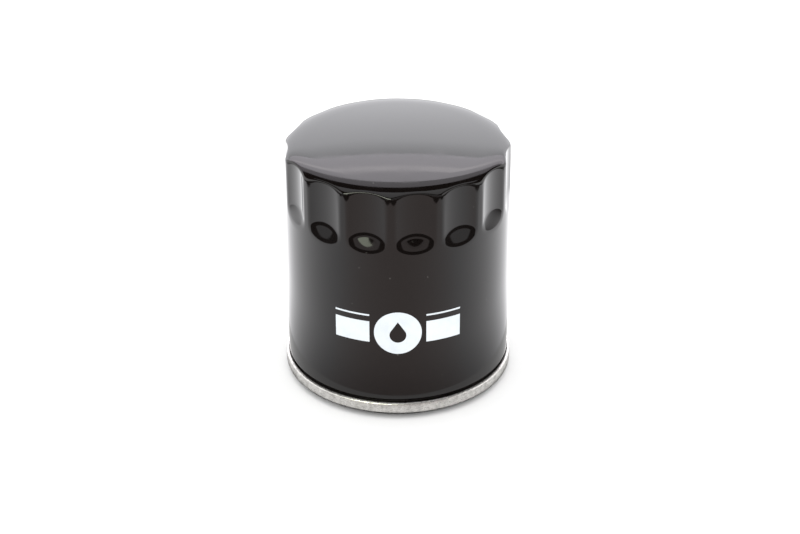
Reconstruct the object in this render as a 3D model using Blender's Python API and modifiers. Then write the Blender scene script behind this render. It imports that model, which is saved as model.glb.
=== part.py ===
"""Spin-on engine oil filter: a fluted steel canister seamed to a threaded base plate, with its
pleated element, bypass valve and anti-drainback diaphragm inside.

Frame: metres, +Z up. The filter stands on its gasket, so z = 0 is the gasket's sealing face, and
the Z axis is the thread's axis. -Y is the printed front.
"""

import math

import bmesh
import bpy
from mathutils import Matrix, Vector

MM = 0.001

# Fits
fit_gap = 0.30 * MM  # between pieces that touch on the real filter
seam_gap = 0.08 * MM  # between the rolled layers of the double seam

# Canister
can_radius = 37.0 * MM
can_height = 83.5 * MM  # crown of the dome above the gasket's face
can_sheet = 0.40 * MM
dome_sag = 1.1 * MM
shoulder_width = 8.5 * MM  # the shoulder is a quarter of an ellipse
shoulder_drop = 2.7 * MM
shoulder_steps = 6
neck_depth = 0.44 * MM  # the wall steps in by this much inside the seam
neck_height = 0.60 * MM

# Wrench flutes
flute_count = 15
flute_depth = 1.5 * MM
flute_tool_radius = 22.0 * MM  # radius of the convex tool that presses them
flute_length = 20.1 * MM  # from the foot of the shoulder down
flute_runout = 7.3 * MM  # the lowest stretch, where a flute fades out
flute_steps = 3  # rows of points down a run-out
flute_phase = math.radians(2.7)  # direction of the first ridge between flutes

# Double seam and lid
lid_sheet = 0.40 * MM
seam_foot = 1.8 * MM  # underside of the seam: the gasket stands proud by this much
seam_height = 4.15 * MM
seam_corner = 0.45 * MM
lid_flange = 4.1 * MM  # width of the lid inside its rib
rib_width = 1.2 * MM
rib_foot = 2.4 * MM
hook_bend = 0.42 * MM  # height of the canister's bend inside the seam
sealant_height = 0.30 * MM

# Gasket
gasket_width = 4.4 * MM
gasket_height = 4.5 * MM
gasket_edge = 0.35 * MM

# Base plate, with a 3/4-16 UNF thread
plate_thickness = 3.0 * MM
plate_edge = 0.4 * MM
hub_radius = 12.4 * MM
hub_height = 7.0 * MM  # above the plate
hub_root = 0.5 * MM
thread_minor_radius = 8.67 * MM
thread_major_radius = 9.53 * MM
thread_pitch = 25.4 / 16 * MM
groove_flat = 0.20 * MM  # at the root of the thread
thread_start = math.radians(3)
thread_half_angle = math.radians(30)
lead_in = 0.4 * MM  # how much wider than the thread its chamfer starts at the hub's top
mouth_radius = 10.4 * MM
mouth_depth = 1.5 * MM
inlet_count = 8
inlet_radius = 3.5 * MM

# Anti-drainback diaphragm
collar_wall = 2.2 * MM
collar_height = 5.4 * MM
flap_thickness = 1.2 * MM
flap_drop = 0.8 * MM  # from the collar's top to the flap's root
flap_shoulder = 0.3 * MM  # how far the flap falls in its first stretch
flap_cover = 3.2 * MM  # from the inlets' outer edge to the flap's bead
flap_bead = 1.4 * MM
collar_chamfer = 0.5 * MM

# Element
cap_sheet = 0.40 * MM
element_clearance = 2.0 * MM  # round the end caps, inside the flutes
hub_clearance = 1.0 * MM  # round the hub, inside the lower end cap's neck
cap_rim = 4.3 * MM
cap_neck = 3.3 * MM
cap_corner = 0.5 * MM
potting_thickness = 1.2 * MM
tube_sheet = 0.50 * MM
tube_rows = 5
tube_holes = 8
tube_hole_radius = 2.6 * MM
paper_thickness = 0.70 * MM
pleat_count = 45
paper_clearance = 0.9 * MM  # round the centre tube
pleat_fold = 0.75 * MM  # half the width of a fold
clip_sheet = 0.30 * MM
clip_depth = 4.0 * MM
clip_gap = 0.15 * MM

# Bypass valve
cage_sheet = 0.50 * MM
cage_clearance = 0.6 * MM  # inside the upper end cap's neck
cage_flange = 3.2 * MM
cage_depth = 17.9 * MM
window_count = 4
window_width = 7.0 * MM
window_height = 8.0 * MM
window_sill = 4.0 * MM
seat_sheet = 0.60 * MM
seat_port_radius = 5.9 * MM
seat_dish = 2.3 * MM
seal_radius = 8.4 * MM
seal_thickness = 1.0 * MM
disc_sheet = 0.60 * MM
disc_lip = 0.4 * MM  # how far the disc stands past the seal
disc_skirt = 1.7 * MM
stem_radius = 1.4 * MM
stem_bore_gap = 0.4 * MM
stem_head_radius = 3.2 * MM
stem_head = 0.8 * MM
stem_crown_radius = 2.24 * MM  # the flat on top of the head
stem_head_edge = 0.4 * MM  # height of the head's upright edge
stem_collar_radius = 2.6 * MM
stem_tail = 2.5 * MM  # how far the stem reaches below the cage
stem_point = 0.7 * MM  # chamfer at the end of the tail
bypass_wire = 1.0 * MM
bypass_coil_clearance = 0.5 * MM  # inside the disc's skirt
bypass_turns = 6.0
bypass_turn_points = 12

# Element spring, between the bypass seat and the dome
element_wire = 1.6 * MM
element_spring_length = 9.2 * MM  # as fitted
element_coil_flare = 1.2 * MM  # how much wider the coil is at its top
element_turns = 3.25
element_turn_points = 16
coil_end_gap = 0.20 * MM  # between a spring's end turn and its next

# Facets
shell_segments = 3 * flute_count
inner_segments = 36
valve_segments = 24
thread_segments = 18
hole_segments = 12
tube_hole_segments = 6
spring_sides = 6
bend_steps = 4  # in each rolled bend of the double seam

cutter_overreach = 1.5 * MM  # how far a cutter stands past each face of what it cuts

# The shell's places
seam_top = seam_foot + seam_height
shoulder_foot = can_height - dome_sag - shoulder_drop
flute_foot = shoulder_foot - flute_length
flute_top = flute_foot + flute_runout
neck_radius = can_radius - neck_depth
neck_inner_radius = neck_radius - can_sheet
chuck_radius = neck_inner_radius - seam_gap - lid_sheet / 2
cover_hook_radius = neck_radius + seam_gap + lid_sheet / 2
body_hook_radius = cover_hook_radius + lid_sheet / 2 + seam_gap + can_sheet / 2
lid_wall_radius = body_hook_radius + can_sheet / 2 + seam_gap + lid_sheet / 2
body_hook_foot = seam_foot + lid_sheet + seam_gap + can_sheet + hook_bend
sealant_foot = body_hook_foot + seam_gap
gasket_outer_radius = chuck_radius - lid_sheet / 2 - fit_gap
gasket_inner_radius = gasket_outer_radius - gasket_width
rib_outer_radius = gasket_inner_radius - fit_gap - lid_sheet / 2
rib_inner_radius = rib_outer_radius - rib_width
lid_flange_radius = rib_inner_radius - lid_flange
lid_roof = gasket_height + fit_gap + lid_sheet / 2
plate_foot = lid_roof + lid_sheet / 2 + fit_gap
plate_top = plate_foot + plate_thickness
plate_radius = neck_inner_radius - fit_gap
hub_top = plate_top + hub_height
inlet_circle_radius = (hub_radius + hub_root + lid_flange_radius) / 2

# The diaphragm's places
collar_foot = plate_top + fit_gap
collar_top = collar_foot + collar_height
flap_radius = inlet_circle_radius + inlet_radius + flap_cover + flap_bead

# The element's radii
cap_radius = can_radius - flute_depth - can_sheet - element_clearance
cap_neck_radius = hub_radius + hub_clearance + cap_sheet
tube_inner_radius = cap_neck_radius + fit_gap
tube_outer_radius = tube_inner_radius + tube_sheet
pleat_outer_radius = cap_radius - cap_sheet - fit_gap - clip_sheet - clip_gap
pleat_inner_radius = tube_outer_radius + paper_clearance
cage_radius = cap_neck_radius - cap_sheet - cage_clearance
cage_flange_radius = cage_radius + cage_flange
seat_wall_radius = cage_radius - cage_sheet - fit_gap - seat_sheet / 2
disc_radius = seal_radius + disc_lip
stem_bore_radius = stem_radius + stem_bore_gap
bypass_coil_radius = disc_radius - disc_sheet - bypass_coil_clearance - bypass_wire / 2
element_coil_foot_radius = (seat_wall_radius + cage_flange_radius) / 2
element_coil_top_radius = element_coil_foot_radius + element_coil_flare


def dome_height(radius):
    """Height of the canister's outer surface inside the shoulder."""
    share = radius / (can_radius - shoulder_width)
    return can_height - dome_sag * share * share


# The element's heights, from the dome down to the seat and from the collar up
element_spring_top = dome_height(element_coil_top_radius + element_wire / 2) - can_sheet - fit_gap
element_spring_foot = element_spring_top - element_spring_length
seat_flange_top = element_spring_foot - fit_gap
seat_flange_foot = seat_flange_top - seat_sheet
seat_foot = seat_flange_foot - seat_dish
cage_flange_top = seat_flange_foot - fit_gap
cage_flange_foot = cage_flange_top - cage_sheet
cage_floor_foot = cage_flange_top - cage_depth
cage_floor_top = cage_floor_foot + cage_sheet
element_top = cage_flange_foot - fit_gap
element_foot = collar_top + fit_gap
tube_foot = element_foot + cap_sheet + fit_gap
tube_top = element_top - cap_sheet - fit_gap
media_foot = tube_foot + potting_thickness + fit_gap
media_top = tube_top - potting_thickness - fit_gap
seal_top = seat_foot - fit_gap
seal_foot = seal_top - seal_thickness
disc_top = seal_foot - fit_gap
disc_foot = disc_top - disc_sheet


def clear_scene():
    for obj in list(bpy.data.objects):
        bpy.data.objects.remove(obj, do_unlink=True)


def new_collection(name):
    collection = bpy.data.collections.new(name)
    bpy.context.scene.collection.children.link(collection)
    return collection


def new_material(name, colour, roughness, metallic):
    material = bpy.data.materials.new(name)
    material.use_nodes = True
    shader = material.node_tree.nodes["Principled BSDF"]
    shader.inputs["Base Color"].default_value = (*colour, 1.0)
    shader.inputs["Roughness"].default_value = roughness
    shader.inputs["Metallic"].default_value = metallic
    return material


def new_object(name, data, material, collection):
    obj = bpy.data.objects.new(name, data)
    collection.objects.link(obj)
    if material:
        data.materials.append(material)
    return obj


def baked_mesh(obj, name):
    """A plain mesh of the object as its modifiers leave it, with welded points."""
    graph = bpy.context.evaluated_depsgraph_get()
    mesh = bpy.data.meshes.new_from_object(obj.evaluated_get(graph))
    shape = bmesh.new()
    shape.from_mesh(mesh)
    bmesh.ops.remove_doubles(shape, verts=shape.verts, dist=0.001 * MM)
    shape.to_mesh(mesh)
    shape.free()
    mesh.name = name
    return mesh


def smooth(obj, angle=35.0):
    obj.data.shade_smooth()
    obj.data.set_sharp_from_angle(angle=math.radians(angle))


def offset_line(points, distance, closed=False):
    """The line moved to the left of its direction of travel by distance, with mitred corners."""
    count = len(points)
    line = [Vector(p) for p in points]
    moved = []
    for i, point in enumerate(line):
        before = line[i - 1] if closed or i > 0 else None
        after = line[(i + 1) % count] if closed or i < count - 1 else None
        normals = []
        for start, end in ((before, point), (point, after)):
            if start is not None and end is not None:
                run = (end - start).normalized()
                normals.append(Vector((-run.y, run.x)))
        if len(normals) == 1:
            moved.append(point + normals[0] * distance)
        else:
            mitre = (normals[0] + normals[1]).normalized()
            moved.append(point + mitre * distance / mitre.dot(normals[0]))
    return [(p.x, p.y) for p in moved]


def sheet_loop(centreline, thickness):
    """A closed outline of a sheet that follows the centreline."""
    left = offset_line(centreline, thickness / 2)
    right = offset_line(centreline, -thickness / 2)
    return left + right[::-1]


def arc(centre_x, centre_z, radius, start, end, steps):
    """Points on an arc, with both ends, for angles in degrees."""
    angles = [math.radians(start + (end - start) * i / steps) for i in range(steps + 1)]
    return [(centre_x + radius * math.cos(a), centre_z + radius * math.sin(a)) for a in angles]


def profile_mesh(name, points, closed):
    """Edges through (radius, height) points in the XZ plane, running down the outer side."""
    if closed:
        area = sum(a[0] * b[1] - b[0] * a[1] for a, b in zip(points, points[1:] + points[:1]))
        if area > 0:
            points = points[::-1]
    edges = [(i, i + 1) for i in range(len(points) - 1)]
    if closed:
        edges.append((len(points) - 1, 0))
    mesh = bpy.data.meshes.new(name)
    mesh.from_pydata([(x, 0.0, z) for x, z in points], edges, [])
    return mesh


def turned(name, points, segments, material, collection, closed=True, turns=1, pitch=0.0):
    """A turned piece: the profile with a Screw modifier about Z."""
    obj = new_object(name, profile_mesh(name, points, closed), material, collection)
    screw = obj.modifiers.new("Screw", "SCREW")
    screw.axis = "Z"
    screw.steps = segments
    screw.render_steps = segments
    screw.iterations = turns
    screw.screw_offset = pitch
    screw.use_merge_vertices = pitch == 0.0
    screw.merge_threshold = 0.01 * MM
    screw.use_normal_calculate = False
    return obj


def bake_in_place(obj):
    """Replaces the object's mesh with the shape that its modifiers make."""
    bpy.context.view_layer.update()
    mesh = baked_mesh(obj, obj.name)
    obj.modifiers.clear()
    obj.data = mesh
    return obj


def flat_outline(name, loops, bottom, top, material, collection):
    """A flat outline, of an outer loop and any holes, extruded from bottom to top."""
    curve = bpy.data.curves.new(name, "CURVE")
    curve.dimensions = "2D"
    curve.fill_mode = "BOTH"
    curve.extrude = (top - bottom) / 2
    for loop in loops:
        spline = curve.splines.new("POLY")
        spline.points.add(len(loop) - 1)
        for point, (x, y) in zip(spline.points, loop):
            point.co = (x, y, 0.0, 1.0)
        spline.use_cyclic_u = True
    obj = new_object(name, curve, material, collection)
    obj.location.z = (top + bottom) / 2
    return obj


def coil_spring(name, ends, radii, wire, turns, turn_points, material, collection):
    """A coil with close end turns. Ends are the heights that the wire's outside reaches, and
    radii those of the coil at its foot and its top."""
    low = ends[0] + wire / 2
    high = ends[1] - wire / 2
    end_rise = wire + coil_end_gap
    pitch = (high - low - 2 * end_rise) / (turns - 2)
    curve = bpy.data.curves.new(name, "CURVE")
    curve.dimensions = "3D"
    curve.bevel_depth = wire / 2
    curve.bevel_resolution = spring_sides // 2 - 2
    curve.use_fill_caps = True
    steps = round(turns * turn_points)
    spline = curve.splines.new("POLY")
    spline.points.add(steps)
    for i, point in enumerate(spline.points):
        turn = turns * i / steps
        if turn < 1:
            height = low + end_rise * turn
        elif turn > turns - 1:
            height = high - end_rise * (turns - turn)
        else:
            height = low + end_rise + pitch * (turn - 1)
        radius = radii[0] + (radii[1] - radii[0]) * turn / turns
        angle = 2 * math.pi * turn
        point.co = (radius * math.cos(angle), radius * math.sin(angle), height, 1.0)
    return new_object(name, curve, material, collection)


def cylinder_cutter(name, places, radius, depth, sides, collection):
    """One mesh of several cylinders. Each place is a matrix that carries a cylinder on Z."""
    shape = bmesh.new()
    for place in places:
        bmesh.ops.create_cone(
            shape,
            cap_ends=True,
            segments=sides,
            radius1=radius,
            radius2=radius,
            depth=depth,
            matrix=place,
        )
    return finished_cutter(name, shape, collection)


def finished_cutter(name, shape, collection):
    mesh = bpy.data.meshes.new(name)
    shape.to_mesh(mesh)
    shape.free()
    cutter = new_object(name, mesh, None, collection)
    cutter.hide_render = True
    cutter.display_type = "WIRE"
    return cutter


def cut(obj, cutter):
    boolean = obj.modifiers.new("Cut " + cutter.name, "BOOLEAN")
    boolean.operation = "DIFFERENCE"
    boolean.object = cutter


def flute_press(radius, height, angle):
    """How far a flute moves a point of the canister's outer surface inwards."""
    pitch = 2 * math.pi / flute_count
    off = angle % pitch - pitch / 2
    tool_centre = can_radius - flute_depth + flute_tool_radius
    reach = flute_tool_radius**2 - (tool_centre * math.sin(off)) ** 2
    if reach <= 0:
        return 0.0
    share = min(1.0, max(0.0, (flute_top - height) / flute_runout))
    lift = flute_depth * share * share
    groove = tool_centre * math.cos(off) - math.sqrt(reach) + lift
    return max(0.0, radius - groove)


def canister_line():
    """The unpressed outer surface, from the crown down to the bottom of the neck."""
    shoulder_centre = can_radius - shoulder_width
    line = [(radius, dome_height(radius)) for radius in (0.0, shoulder_centre / 2)]
    for step in range(shoulder_steps + 1):
        lean = math.radians(90 * (1 - step / shoulder_steps))
        radius = shoulder_centre + shoulder_width * math.cos(lean)
        line.append((radius, shoulder_foot + shoulder_drop * math.sin(lean)))
    line.append((can_radius, (flute_top + shoulder_foot) / 2))
    for step in range(flute_steps + 1):
        line.append((can_radius, flute_top - flute_runout * step / flute_steps))
    line.append((can_radius, seam_top + neck_height))
    line.append((neck_radius, seam_top))
    line.append((neck_radius, body_hook_foot))
    return line


def make_canister(material, collection):
    centreline = offset_line(canister_line(), -can_sheet / 2)
    bend_radius = (body_hook_radius - neck_radius + can_sheet / 2) / 2
    bend_centre = neck_radius - can_sheet / 2 + bend_radius
    bend = arc(bend_centre, body_hook_foot, bend_radius, 180, 360, bend_steps)
    centreline += bend[1:]
    centreline.append((body_hook_radius, seam_top - 2 * lid_sheet - seam_gap))
    outside = offset_line(centreline, can_sheet / 2)
    inside = offset_line(centreline, -can_sheet / 2)
    outside[0] = (0.0, can_height)
    inside[0] = (0.0, can_height - can_sheet)
    profile = outside + inside[::-1]
    canister = turned("canister", profile, shell_segments, material, collection, closed=False)
    bake_in_place(canister)
    for vertex in canister.data.vertices:
        radius = math.hypot(vertex.co.x, vertex.co.y)
        if vertex.co.z < flute_foot or radius < can_radius - shoulder_width:
            continue
        inner = radius < outer_radius_at(vertex.co.z) - can_sheet / 2
        skin = radius + can_sheet if inner else radius
        angle = math.atan2(vertex.co.y, vertex.co.x)
        share = 1 - flute_press(skin, vertex.co.z, angle) / radius
        vertex.co.x *= share
        vertex.co.y *= share
    canister.rotation_euler.z = flute_phase
    smooth(canister)
    return canister


def outer_radius_at(height):
    """Radius of the unpressed canister's outer surface at a height."""
    if height <= shoulder_foot:
        return can_radius
    share = min(1.0, (height - shoulder_foot) / shoulder_drop)
    return can_radius - shoulder_width * (1 - math.sqrt(1 - share * share))


def make_seaming_lid(material, collection):
    rib_low = rib_foot + lid_sheet / 2
    low = seam_foot + lid_sheet / 2
    bend_radius = (lid_wall_radius - cover_hook_radius) / 2
    bend_height = seam_top - lid_sheet / 2 - bend_radius
    centreline = [
        (lid_flange_radius, lid_roof),
        (rib_inner_radius, lid_roof),
        (rib_inner_radius, rib_low),
        (rib_outer_radius, rib_low),
        (rib_outer_radius, lid_roof),
        (chuck_radius, lid_roof),
        (chuck_radius, low + seam_corner),
        (chuck_radius + seam_corner, low),
        (lid_wall_radius - seam_corner, low),
        (lid_wall_radius, low + seam_corner),
    ]
    centreline += arc(cover_hook_radius + bend_radius, bend_height, bend_radius, 0, 180, bend_steps)
    centreline.append((cover_hook_radius, sealant_foot + sealant_height + seam_gap))
    profile = sheet_loop(centreline, lid_sheet)
    lid = turned("seaming_lid", profile, shell_segments, material, collection)
    smooth(bake_in_place(lid))
    lid.rotation_euler.z = flute_phase
    return lid


def make_seam_sealant(material, collection):
    inner = cover_hook_radius - lid_sheet / 2
    outer = cover_hook_radius + lid_sheet / 2
    top = sealant_foot + sealant_height
    loop = [(inner, sealant_foot), (inner, top), (outer, top), (outer, sealant_foot)]
    sealant = turned("seam_sealant", loop, shell_segments, material, collection)
    sealant.rotation_euler.z = flute_phase
    return sealant


def make_gasket(material, collection):
    inner, outer, edge = gasket_inner_radius, gasket_outer_radius, gasket_edge
    loop = [
        (inner, edge),
        (inner, gasket_height),
        (outer, gasket_height),
        (outer, edge),
        (outer - edge, 0.0),
        (inner + edge, 0.0),
    ]
    gasket = turned("sealing_gasket", loop, shell_segments, material, collection)
    gasket.rotation_euler.z = flute_phase
    return gasket


def thread_cutter(collection):
    """A helical V rod that cuts the hub's right-hand thread."""
    inside = thread_minor_radius - fit_gap
    half_width = groove_flat / 2 + (thread_major_radius - inside) * math.tan(thread_half_angle)
    loop = [
        (inside, -half_width),
        (inside, half_width),
        (thread_major_radius, groove_flat / 2),
        (thread_major_radius, -groove_flat / 2),
    ]
    turns = math.ceil((hub_top - plate_foot) / thread_pitch) + 1
    rod = turned(
        "thread_cutter", loop, thread_segments, None, collection, turns=turns, pitch=thread_pitch
    )
    bake_in_place(rod)
    rod.location.z = plate_foot - thread_pitch / 2
    rod.rotation_euler.z = thread_start
    shape = bmesh.new()
    shape.from_mesh(rod.data)
    bmesh.ops.holes_fill(shape, edges=shape.edges)
    bmesh.ops.recalc_face_normals(shape, faces=shape.faces)
    shape.to_mesh(rod.data)
    shape.free()
    rod.hide_render = True
    rod.display_type = "WIRE"
    return rod


def inlet_places():
    middle = (plate_foot + plate_top) / 2
    spots = []
    for i in range(inlet_count):
        turn = Matrix.Rotation(2 * math.pi * (i + 0.5) / inlet_count, 4, "Z")
        spots.append(turn @ Matrix.Translation((inlet_circle_radius, 0.0, middle)))
    return spots


def make_base_plate(material, collection, cutters):
    loop = [
        (plate_radius, plate_foot + plate_edge),
        (plate_radius, plate_top - plate_edge),
        (plate_radius - plate_edge, plate_top),
        (hub_radius + hub_root, plate_top),
        (hub_radius, plate_top + hub_root),
        (hub_radius, hub_top - plate_edge),
        (hub_radius - plate_edge, hub_top),
        (thread_major_radius + lead_in, hub_top),
        (thread_minor_radius, hub_top - thread_major_radius - lead_in + thread_minor_radius),
        (thread_minor_radius, plate_foot + mouth_depth),
        (mouth_radius, plate_foot),
        (plate_radius - plate_edge, plate_foot),
    ]
    plate = turned("threaded_base_plate", loop, inner_segments, material, collection)
    bake_in_place(plate)
    depth = plate_thickness + 2 * cutter_overreach
    holes = cylinder_cutter(
        "inlet_cutter", inlet_places(), inlet_radius, depth, hole_segments, cutters
    )
    cut(plate, holes)
    cut(plate, thread_cutter(cutters))
    smooth(plate)
    return plate


def make_diaphragm(material, collection):
    inner = hub_radius + fit_gap
    outer = inner + collar_wall
    flap_top = collar_top - flap_drop
    root = outer + flap_thickness
    bead = flap_radius - flap_bead
    loop = [
        (inner, collar_foot + collar_chamfer),
        (inner, collar_top),
        (outer, collar_top),
        (outer, flap_top),
        (root, flap_top - flap_shoulder),
        (bead, collar_foot + flap_thickness),
        (flap_radius, collar_foot + flap_thickness),
        (flap_radius, collar_foot),
        (bead, collar_foot),
        (root, flap_top - flap_shoulder - flap_thickness),
        (outer, flap_top - flap_thickness),
        (outer, collar_foot),
        (inner + collar_chamfer, collar_foot),
    ]
    return turned("drainback_diaphragm", loop, inner_segments, material, collection)


def make_end_cap(name, face, inward, material, collection):
    """A pressed cap: face is its outer face's height, and inward is +1 for up or -1 for down."""
    half = cap_sheet / 2
    level = face + inward * half
    neck = cap_neck_radius - half
    rim = cap_radius - half
    centreline = [
        (neck, face + inward * cap_neck),
        (neck, level + inward * cap_corner),
        (neck + cap_corner, level),
        (rim - cap_corner, level),
        (rim, level + inward * cap_corner),
        (rim, face + inward * cap_rim),
    ]
    return turned(name, sheet_loop(centreline, cap_sheet), inner_segments, material, collection)


def make_potting(name, foot, material, collection):
    inner = tube_outer_radius + fit_gap
    outer = cap_radius - cap_sheet - fit_gap
    top = foot + potting_thickness
    loop = [(inner, foot), (inner, top), (outer, top), (outer, foot)]
    return turned(name, loop, inner_segments, material, collection)


def pleat_line():
    """The paper's centreline round the element, as a closed line."""
    half = paper_thickness / 2
    outer = pleat_outer_radius - half
    inner = pleat_inner_radius + half
    fold = pleat_fold - half
    points = []
    for i in range(pleat_count):
        tip = 2 * math.pi * i / pleat_count
        valley = tip + math.pi / pleat_count
        for radius, middle in ((outer, tip), (inner, valley)):
            for side in (-1, 1):
                angle = middle + side * fold / radius
                points.append((radius * math.cos(angle), radius * math.sin(angle)))
    return points


def make_media(material, collection):
    line = pleat_line()
    loops = [
        offset_line(line, -paper_thickness / 2, closed=True),
        offset_line(line, paper_thickness / 2, closed=True),
    ]
    return flat_outline("pleated_media", loops, media_foot, media_top, material, collection)


def make_seam_clip(material, collection):
    """A channel crimped over the pleat where the paper's two ends meet."""
    spread = (math.pi / pleat_count * pleat_inner_radius) * clip_depth
    spread /= pleat_outer_radius - pleat_inner_radius
    leg = pleat_fold + spread + clip_gap + clip_sheet / 2
    back = pleat_outer_radius + clip_gap + clip_sheet / 2
    mouth = pleat_outer_radius - clip_depth
    line = [(mouth, leg), (back, leg), (back, -leg), (mouth, -leg)]
    loop = sheet_loop(line, clip_sheet)
    return flat_outline("media_seam_clip", [loop], media_foot, media_top, material, collection)


def make_centre_tube(material, collection, cutters):
    loop = [
        (tube_inner_radius, tube_foot),
        (tube_inner_radius, tube_top),
        (tube_outer_radius, tube_top),
        (tube_outer_radius, tube_foot),
    ]
    tube = turned("centre_tube", loop, inner_segments, material, collection)
    spots = []
    row_pitch = (media_top - media_foot) / tube_rows
    for row in range(tube_rows):
        height = media_foot + row_pitch * (row + 0.5)
        for hole in range(tube_holes):
            angle = 2 * math.pi * (hole + row % 2 / 2) / tube_holes
            turn = Matrix.Rotation(angle, 4, "Z")
            lay = Matrix.Rotation(math.pi / 2, 4, "Y")
            spots.append(turn @ Matrix.Translation((tube_inner_radius, 0.0, height)) @ lay)
    depth = tube_sheet + 2 * cutter_overreach
    holes = cylinder_cutter(
        "perforation_cutter", spots, tube_hole_radius, depth, tube_hole_segments, cutters
    )
    cut(tube, holes)
    return tube


def make_bypass_cage(material, collection, cutters):
    half = cage_sheet / 2
    wall = cage_radius - half
    centreline = [
        (cage_flange_radius, cage_flange_top - half),
        (wall, cage_flange_top - half),
        (wall, cage_floor_foot + half),
        (stem_bore_radius, cage_floor_foot + half),
    ]
    loop = sheet_loop(centreline, cage_sheet)
    cage = turned("bypass_cage", loop, valve_segments, material, collection)
    bake_in_place(cage)
    shape = bmesh.new()
    depth = cage_sheet + 2 * cutter_overreach
    for i in range(window_count):
        box = bmesh.ops.create_cube(shape, size=1.0)["verts"]
        bmesh.ops.scale(shape, verts=box, vec=(depth, window_width, window_height))
        sill = cage_floor_top + window_sill + window_height / 2
        bmesh.ops.translate(shape, verts=box, vec=(wall, 0.0, sill))
        turn = Matrix.Rotation(2 * math.pi * i / window_count, 3, "Z")
        bmesh.ops.rotate(shape, verts=box, cent=(0.0, 0.0, 0.0), matrix=turn)
    cut(cage, finished_cutter("window_cutter", shape, cutters))
    smooth(cage)
    return cage


def make_bypass_seat(material, collection):
    half = seat_sheet / 2
    centreline = [
        (cage_flange_radius, seat_flange_foot + half),
        (seat_wall_radius, seat_flange_foot + half),
        (seat_wall_radius, seat_foot + half),
        (seat_port_radius, seat_foot + half),
    ]
    loop = sheet_loop(centreline, seat_sheet)
    return turned("bypass_seat", loop, valve_segments, material, collection)


def make_bypass_seal(material, collection):
    loop = [
        (stem_bore_radius, seal_foot),
        (stem_bore_radius, seal_top),
        (seal_radius, seal_top),
        (seal_radius, seal_foot),
    ]
    return turned("bypass_seal", loop, valve_segments, material, collection)


def make_bypass_disc(material, collection):
    half = disc_sheet / 2
    centreline = [
        (stem_bore_radius, disc_top - half),
        (disc_radius - half, disc_top - half),
        (disc_radius - half, disc_foot - disc_skirt),
    ]
    loop = sheet_loop(centreline, disc_sheet)
    return turned("bypass_disc", loop, valve_segments, material, collection)


def make_bypass_stem(material, collection):
    """A rivet: its head holds the seal, its collar the disc, and its tail slides in the cage."""
    head_foot = seal_top + fit_gap
    collar_level = disc_foot - fit_gap
    points = [
        (0.0, head_foot + stem_head),
        (stem_crown_radius, head_foot + stem_head),
        (stem_head_radius, head_foot + stem_head_edge),
        (stem_head_radius, head_foot),
        (stem_radius, head_foot),
        (stem_radius, collar_level),
        (stem_collar_radius, collar_level),
        (stem_collar_radius, collar_level - stem_head),
        (stem_radius, collar_level - stem_head),
        (stem_radius, cage_floor_foot - stem_tail + stem_point),
        (stem_radius - stem_point, cage_floor_foot - stem_tail),
        (0.0, cage_floor_foot - stem_tail),
    ]
    return turned("bypass_stem", points, hole_segments, material, collection, closed=False)


def make_bypass_spring(material, collection):
    ends = (cage_floor_top + fit_gap, disc_foot - fit_gap)
    radii = (bypass_coil_radius, bypass_coil_radius)
    return coil_spring(
        "bypass_spring",
        ends,
        radii,
        bypass_wire,
        bypass_turns,
        bypass_turn_points,
        material,
        collection,
    )


def make_element_spring(material, collection):
    ends = (element_spring_foot, element_spring_top)
    radii = (element_coil_foot_radius, element_coil_top_radius)
    return coil_spring(
        "element_spring",
        ends,
        radii,
        element_wire,
        element_turns,
        element_turn_points,
        material,
        collection,
    )


def main():
    clear_scene()
    parts = new_collection("oil_filter")
    cutters = new_collection("cutters")
    paint = new_material("black_enamel", (0.012, 0.011, 0.012), 0.12, 0.0)
    tinplate = new_material("bare_tinplate", (0.62, 0.61, 0.58), 0.32, 1.0)
    plate_steel = new_material("zinc_plated_steel", (0.55, 0.54, 0.50), 0.38, 1.0)
    spring_steel = new_material("spring_steel", (0.32, 0.32, 0.33), 0.30, 1.0)
    nitrile = new_material("nitrile_rubber", (0.02, 0.02, 0.02), 0.62, 0.0)
    silicone = new_material("silicone_rubber", (0.55, 0.10, 0.03), 0.50, 0.0)
    paper = new_material("filter_paper", (0.72, 0.60, 0.33), 0.90, 0.0)
    plastisol = new_material("plastisol", (0.30, 0.32, 0.30), 0.55, 0.0)
    sealant = new_material("seam_compound", (0.45, 0.42, 0.36), 0.70, 0.0)

    make_canister(paint, parts)
    make_seaming_lid(tinplate, parts)
    make_seam_sealant(sealant, parts)
    make_gasket(nitrile, parts)
    make_base_plate(plate_steel, parts, cutters)
    make_diaphragm(silicone, parts)
    make_end_cap("lower_end_cap", element_foot, 1, tinplate, parts)
    make_end_cap("upper_end_cap", element_top, -1, tinplate, parts)
    make_potting("lower_potting", tube_foot, plastisol, parts)
    make_potting("upper_potting", tube_top - potting_thickness, plastisol, parts)
    make_media(paper, parts)
    make_seam_clip(tinplate, parts)
    make_centre_tube(tinplate, parts, cutters)
    make_bypass_cage(tinplate, parts, cutters)
    make_bypass_seat(tinplate, parts)
    make_bypass_seal(nitrile, parts)
    make_bypass_disc(plate_steel, parts)
    make_bypass_stem(plate_steel, parts)
    make_bypass_spring(spring_steel, parts)
    make_element_spring(spring_steel, parts)


main()
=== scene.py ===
import math

import bmesh
import bpy
import numpy as np
from mathutils import Matrix, Vector


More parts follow.
